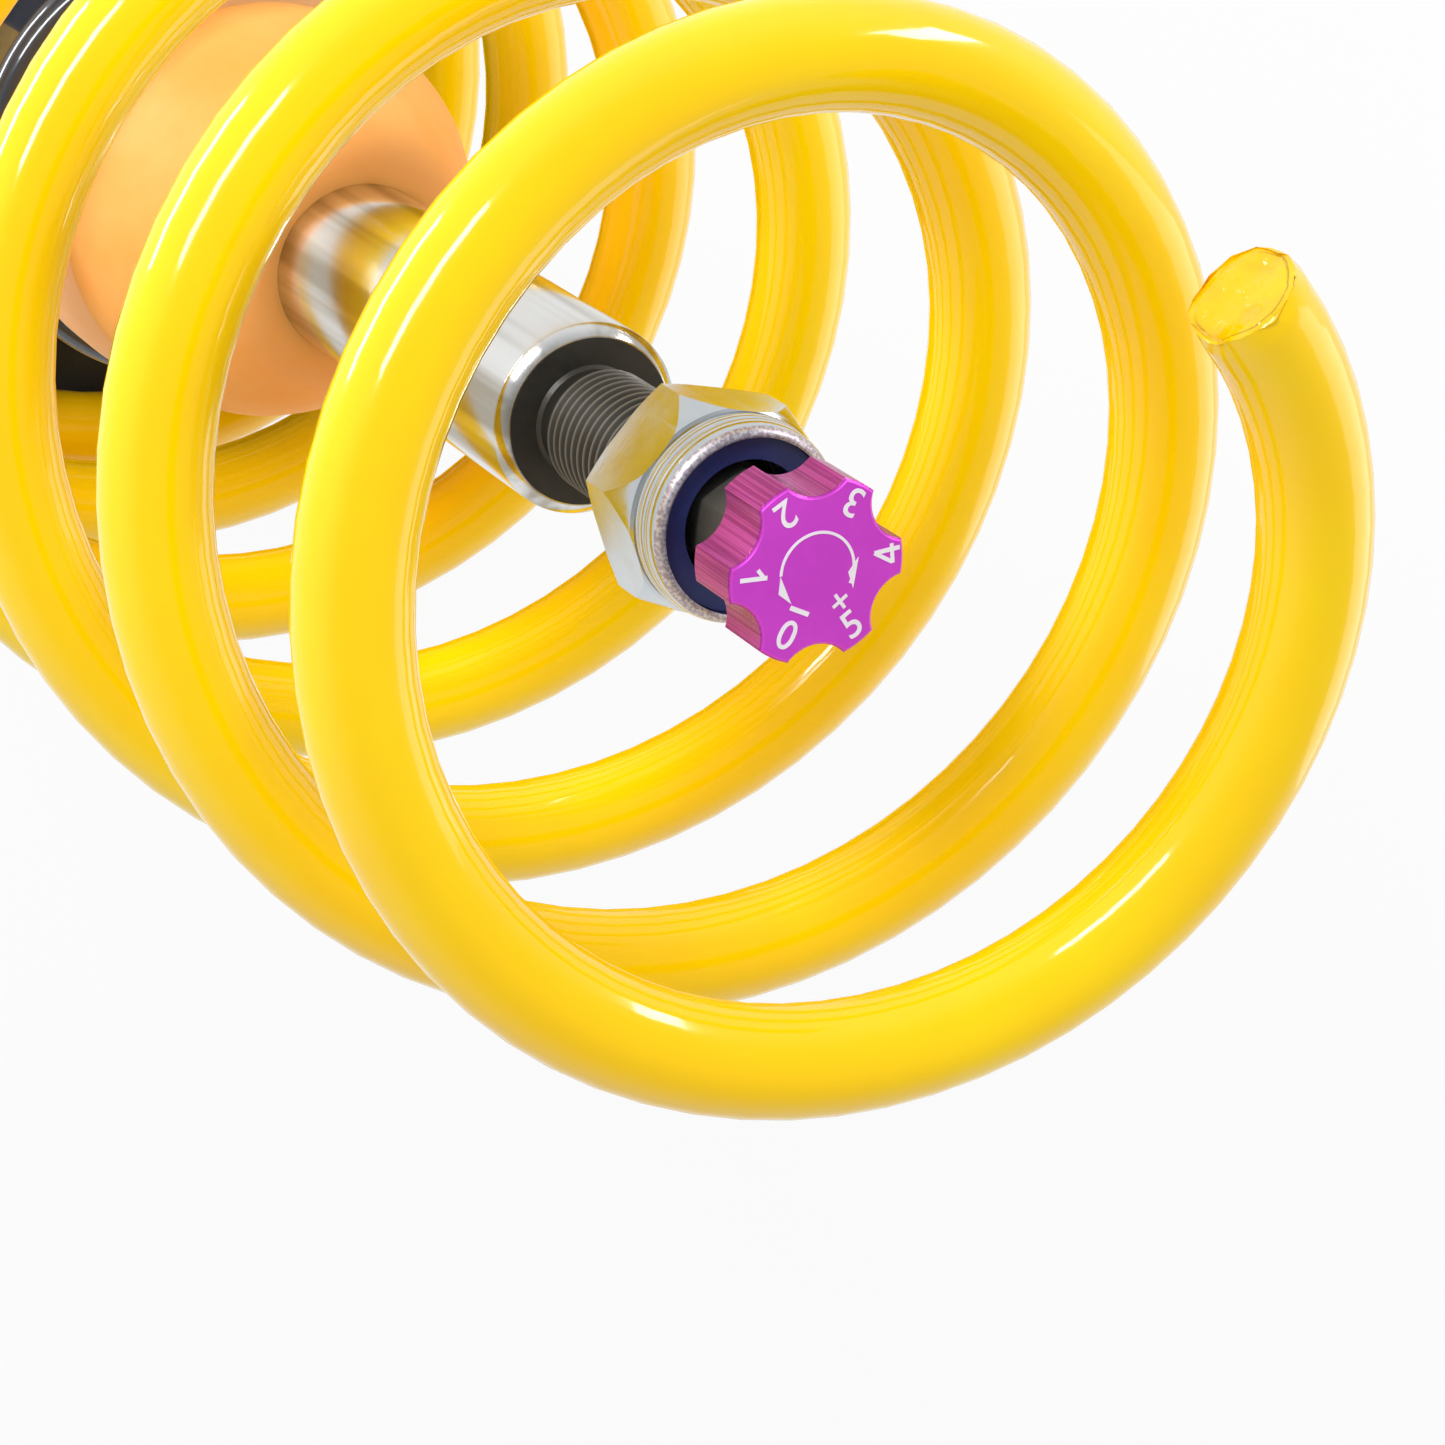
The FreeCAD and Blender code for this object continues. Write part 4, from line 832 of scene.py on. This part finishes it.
sleeve_core = turned("sleeve_core", [
    (SLEEVE_BORE_R, SLEEVE_LOW_Z), (COLLAR_R, SLEEVE_LOW_Z), (COLLAR_R, COLLAR_TOP_Z),
    (SLEEVE_THREAD_R + 0.2, COLLAR_TOP_Z), (SLEEVE_ROOT_R + 0.03, COLLAR_TOP_Z + 2),
    (SLEEVE_ROOT_R + 0.03, SLEEVE_TOP_Z - 1.5), (SLEEVE_BORE_R, SLEEVE_TOP_Z),
], edge=0.2)
place(sleeve_core, "strut", "zinc_plate", replaced="thread_sleeve")
sleeve_thread = thread("sleeve_thread", SLEEVE_ROOT_R, SLEEVE_THREAD_R - 0.02, SLEEVE_PITCH,
                       COLLAR_TOP_Z + 0.5, turns=62, steps=64)
place(sleeve_thread, "strut", "zinc_plate")


# The dial on the knob's face: figures, signs and an arc with two heads.

def on_face(mark, radius, angle, lift, turn):
    """Turns a mark, sets it at its place on the knob's face and hands it to the knob."""
    at = math.radians(angle)
    mark.matrix_world = (
        Matrix.Translation((radius * math.cos(at) * MM, radius * math.sin(at) * MM,
                            (KNOB_FACE_Z + lift) * MM))
        @ Matrix.Rotation(math.radians(turn), 4, "Z"))
    apply_all(mark)
    place(mark, "knob", "anodised", INK)


def dial_text(name, text, radius, angle, size):
    """A raised white figure on the knob's face, its top towards the centre."""
    deselect()
    bpy.ops.object.text_add(location=(0, 0, 0))
    label = bpy.context.object
    label.name = name
    label.data.body = text
    label.data.size = size * MM
    label.data.align_x = "CENTER"
    label.data.align_y = "CENTER"
    label.data.extrude = MARK_RISE / 2 * MM
    label.data.offset = 0.02 * MM
    bpy.ops.object.convert(target="MESH")
    label = bpy.context.object
    label.data.name = name
    edit(label)
    close_up()
    on_face(label, radius, angle, MARK_RISE / 2, angle + 90)


for text, radius, angle in (("0", 7.2, -24.5), ("1", 7.3, -88.4), ("2", 7.6, -146.8),
                            ("3", 7.9, 153.7), ("5", 7.5, 36.4)):
    dial_text(f"dial_{text}", text, radius, angle, FIGURE_SIZE)
dial_text("dial_plus", "+", 4.6, 39.9, 4.0)


def dial_bar(name, radius, angle, long, wide, turn, corners=4, rise=MARK_RISE):
    """A flat bar, or an arrow's head with three corners, on the knob's face."""
    deselect()
    bpy.ops.mesh.primitive_cylinder_add(vertices=corners, radius=MM, depth=rise * MM)
    bar = named(name)
    edit(bar)
    bpy.ops.transform.rotate(value=math.radians(180 / corners), orient_axis="Z",
                             center_override=(0, 0, 0))
    bpy.ops.transform.resize(value=(long / (2 * math.cos(math.pi / corners)),
                                    wide / (2 * math.sin(math.pi / corners)), 1),
                             center_override=(0, 0, 0))
    bpy.ops.object.mode_set(mode="OBJECT")
    on_face(bar, radius, angle, rise / 2, turn)


dial_bar("dial_minus", 4.35, -23, 2.3, 0.5, 67)
for name, x, y, long, wide, turn, rise in (("stem", 0.4, 0, 2.9, 0.46, 90, MARK_RISE),
                                           ("cross", -0.05, -0.55, 2.1, 0.42, 0, 0.055),
                                           ("slope", -0.3, 0.45, 2.4, 0.42, 55, 0.05)):
    at = Vector((FOUR_R - y, x))
    dial_bar(f"dial_4_{name}", at.length, FOUR_ANGLE + math.degrees(math.atan2(at.y, at.x)),
             long, wide, FOUR_ANGLE + 90 + turn, rise=rise)
dial_bar("dial_flag", 6.35, -92.5, 1.15, 0.42, -140, rise=0.05)
dial_arc = profile_line("dial_arc", [
    (ARC_INNER_R, KNOB_FACE_Z), (ARC_INNER_R, KNOB_FACE_Z + MARK_RISE),
    (ARC_OUTER_R, KNOB_FACE_Z + MARK_RISE), (ARC_OUTER_R, KNOB_FACE_Z),
    (ARC_INNER_R, KNOB_FACE_Z),
])
edit(dial_arc)
bpy.ops.mesh.remove_doubles(threshold=0.001 * MM)
bpy.ops.mesh.select_all(action="SELECT")
bpy.ops.transform.rotate(value=math.radians(ARC_START), orient_axis="Z", center_override=(0, 0, 0))
bpy.ops.mesh.spin(steps=48, angle=math.radians(ARC_SWEEP), center=(0, 0, 0), axis=(0, 0, 1))
bpy.ops.mesh.select_all(action="SELECT")
bpy.ops.mesh.fill_holes(sides=4)
close_up()
place(dial_arc, "knob", "anodised", INK)
dial_bar("dial_head_0", 4.1, 84, 1.9, 1.0, -6, 3)
dial_bar("dial_head_1", 4.1, -64, 1.9, 1.0, 26, 3)

# Floor, sky, lamps and camera.

deselect()
bpy.ops.mesh.primitive_plane_add(size=6, location=(0, 0, 0))
floor = named("floor")


def background_share(tree):
    """1 on rays from the camera, in reflections and through clear pieces."""
    path = tree.nodes.new("ShaderNodeLightPath")
    first = math_node(tree, "ADD", path.outputs["Is Camera Ray"], path.outputs["Is Glossy Ray"])
    return math_node(tree, "ADD", first, path.outputs["Is Transmission Ray"], clamp=True)


def shown_instead(tree, share, lit, shown, surface):
    """Mixes what lights the object with what the camera and reflections see."""
    mix = tree.nodes.new("ShaderNodeMixShader")
    tree.links.new(share, mix.inputs[0])
    tree.links.new(lit.outputs[0], mix.inputs[1])
    tree.links.new(shown.outputs[0], mix.inputs[2])
    tree.links.new(mix.outputs[0], surface)


paper = bpy.data.materials.new("white_paper")
paper.use_nodes = True
tree = paper.node_tree
sheet = tree.nodes["Principled BSDF"]
sheet.inputs["Base Color"].default_value = (0.86, 0.86, 0.86, 1)
sheet.inputs["Roughness"].default_value = 0.9
sheet.inputs["Specular IOR Level"].default_value = 0.1
glow = tree.nodes.new("ShaderNodeEmission")
glow.inputs["Strength"].default_value = 1.0
shown_instead(tree, math_node(tree, "MULTIPLY", background_share(tree), 0.8), sheet, glow,
              tree.nodes["Material Output"].inputs["Surface"])
floor.data.materials.append(paper)

world = bpy.data.worlds.new("studio")
bpy.context.scene.world = world
world.use_nodes = True
tree = world.node_tree
sky = tree.nodes["Background"]
sky.inputs["Color"].default_value = (1, 1, 1, 1)
sky.inputs["Strength"].default_value = 0.66
white = tree.nodes.new("ShaderNodeBackground")
white.inputs["Strength"].default_value = 1.0
heading = tree.nodes.new("ShaderNodeSeparateXYZ")
tree.links.new(tree.nodes.new("ShaderNodeTexCoord").outputs["Generated"], heading.inputs[0])
tree.links.new(blend_colour(tree, spread(tree, heading.outputs["Z"], 0.1, 0.8, 0.0, 1.0),
                            (1.0, 1.0, 1.0), (0.36, 0.37, 0.39)), white.inputs["Color"])
shown_instead(tree, background_share(tree), sky, white,
              tree.nodes["World Output"].inputs["Surface"])

# The middle of the spring, in metres.
AIM = Vector((0, 0, 0.42))


def softbox(name, where, wide, high, power):
    """A lamp of a width and a height that faces the middle of the spring."""
    data = bpy.data.lights.new(name, "AREA")
    data.shape = "RECTANGLE"
    data.size = wide
    data.size_y = high
    data.energy = power
    lamp = bpy.data.objects.new(name, data)
    bpy.context.scene.collection.objects.link(lamp)
    lamp.location = where
    lamp.visible_camera = False
    lamp.rotation_euler = (AIM - Vector(where)).to_track_quat("-Z", "Y").to_euler()


softbox("key_softbox", (-0.77, -0.75, 0.98), 0.62, 0.17, 7.6)
softbox("low_softbox", (-0.36, -0.52, 0.06), 0.34, 0.11, 2.3)
softbox("right_softbox", (-0.67, 0.89, 0.87), 0.16, 0.42, 4.0)
softbox("far_softbox", (0.35, 1.30, 0.78), 0.9, 1.0, 3.8)

# The lens, place and turn that show the part as it was photographed.
camera_data = bpy.data.cameras.new("camera")
camera_data.sensor_width = 36.0
camera_data.lens = 100.622
camera_data.clip_start = 0.01
camera = bpy.data.objects.new("camera", camera_data)
bpy.context.scene.collection.objects.link(camera)
camera.matrix_world = Matrix((
    (-0.06748204, -0.93552399, -0.34675790, -0.12432457),
    (0.89137449, 0.09960263, -0.44218869, -0.18711659),
    (0.44821611, -0.33893094, 0.82718083, 0.84607250),
    (0, 0, 0, 1)))
bpy.context.scene.camera = camera
bpy.context.scene.view_settings.view_transform = "Standard"
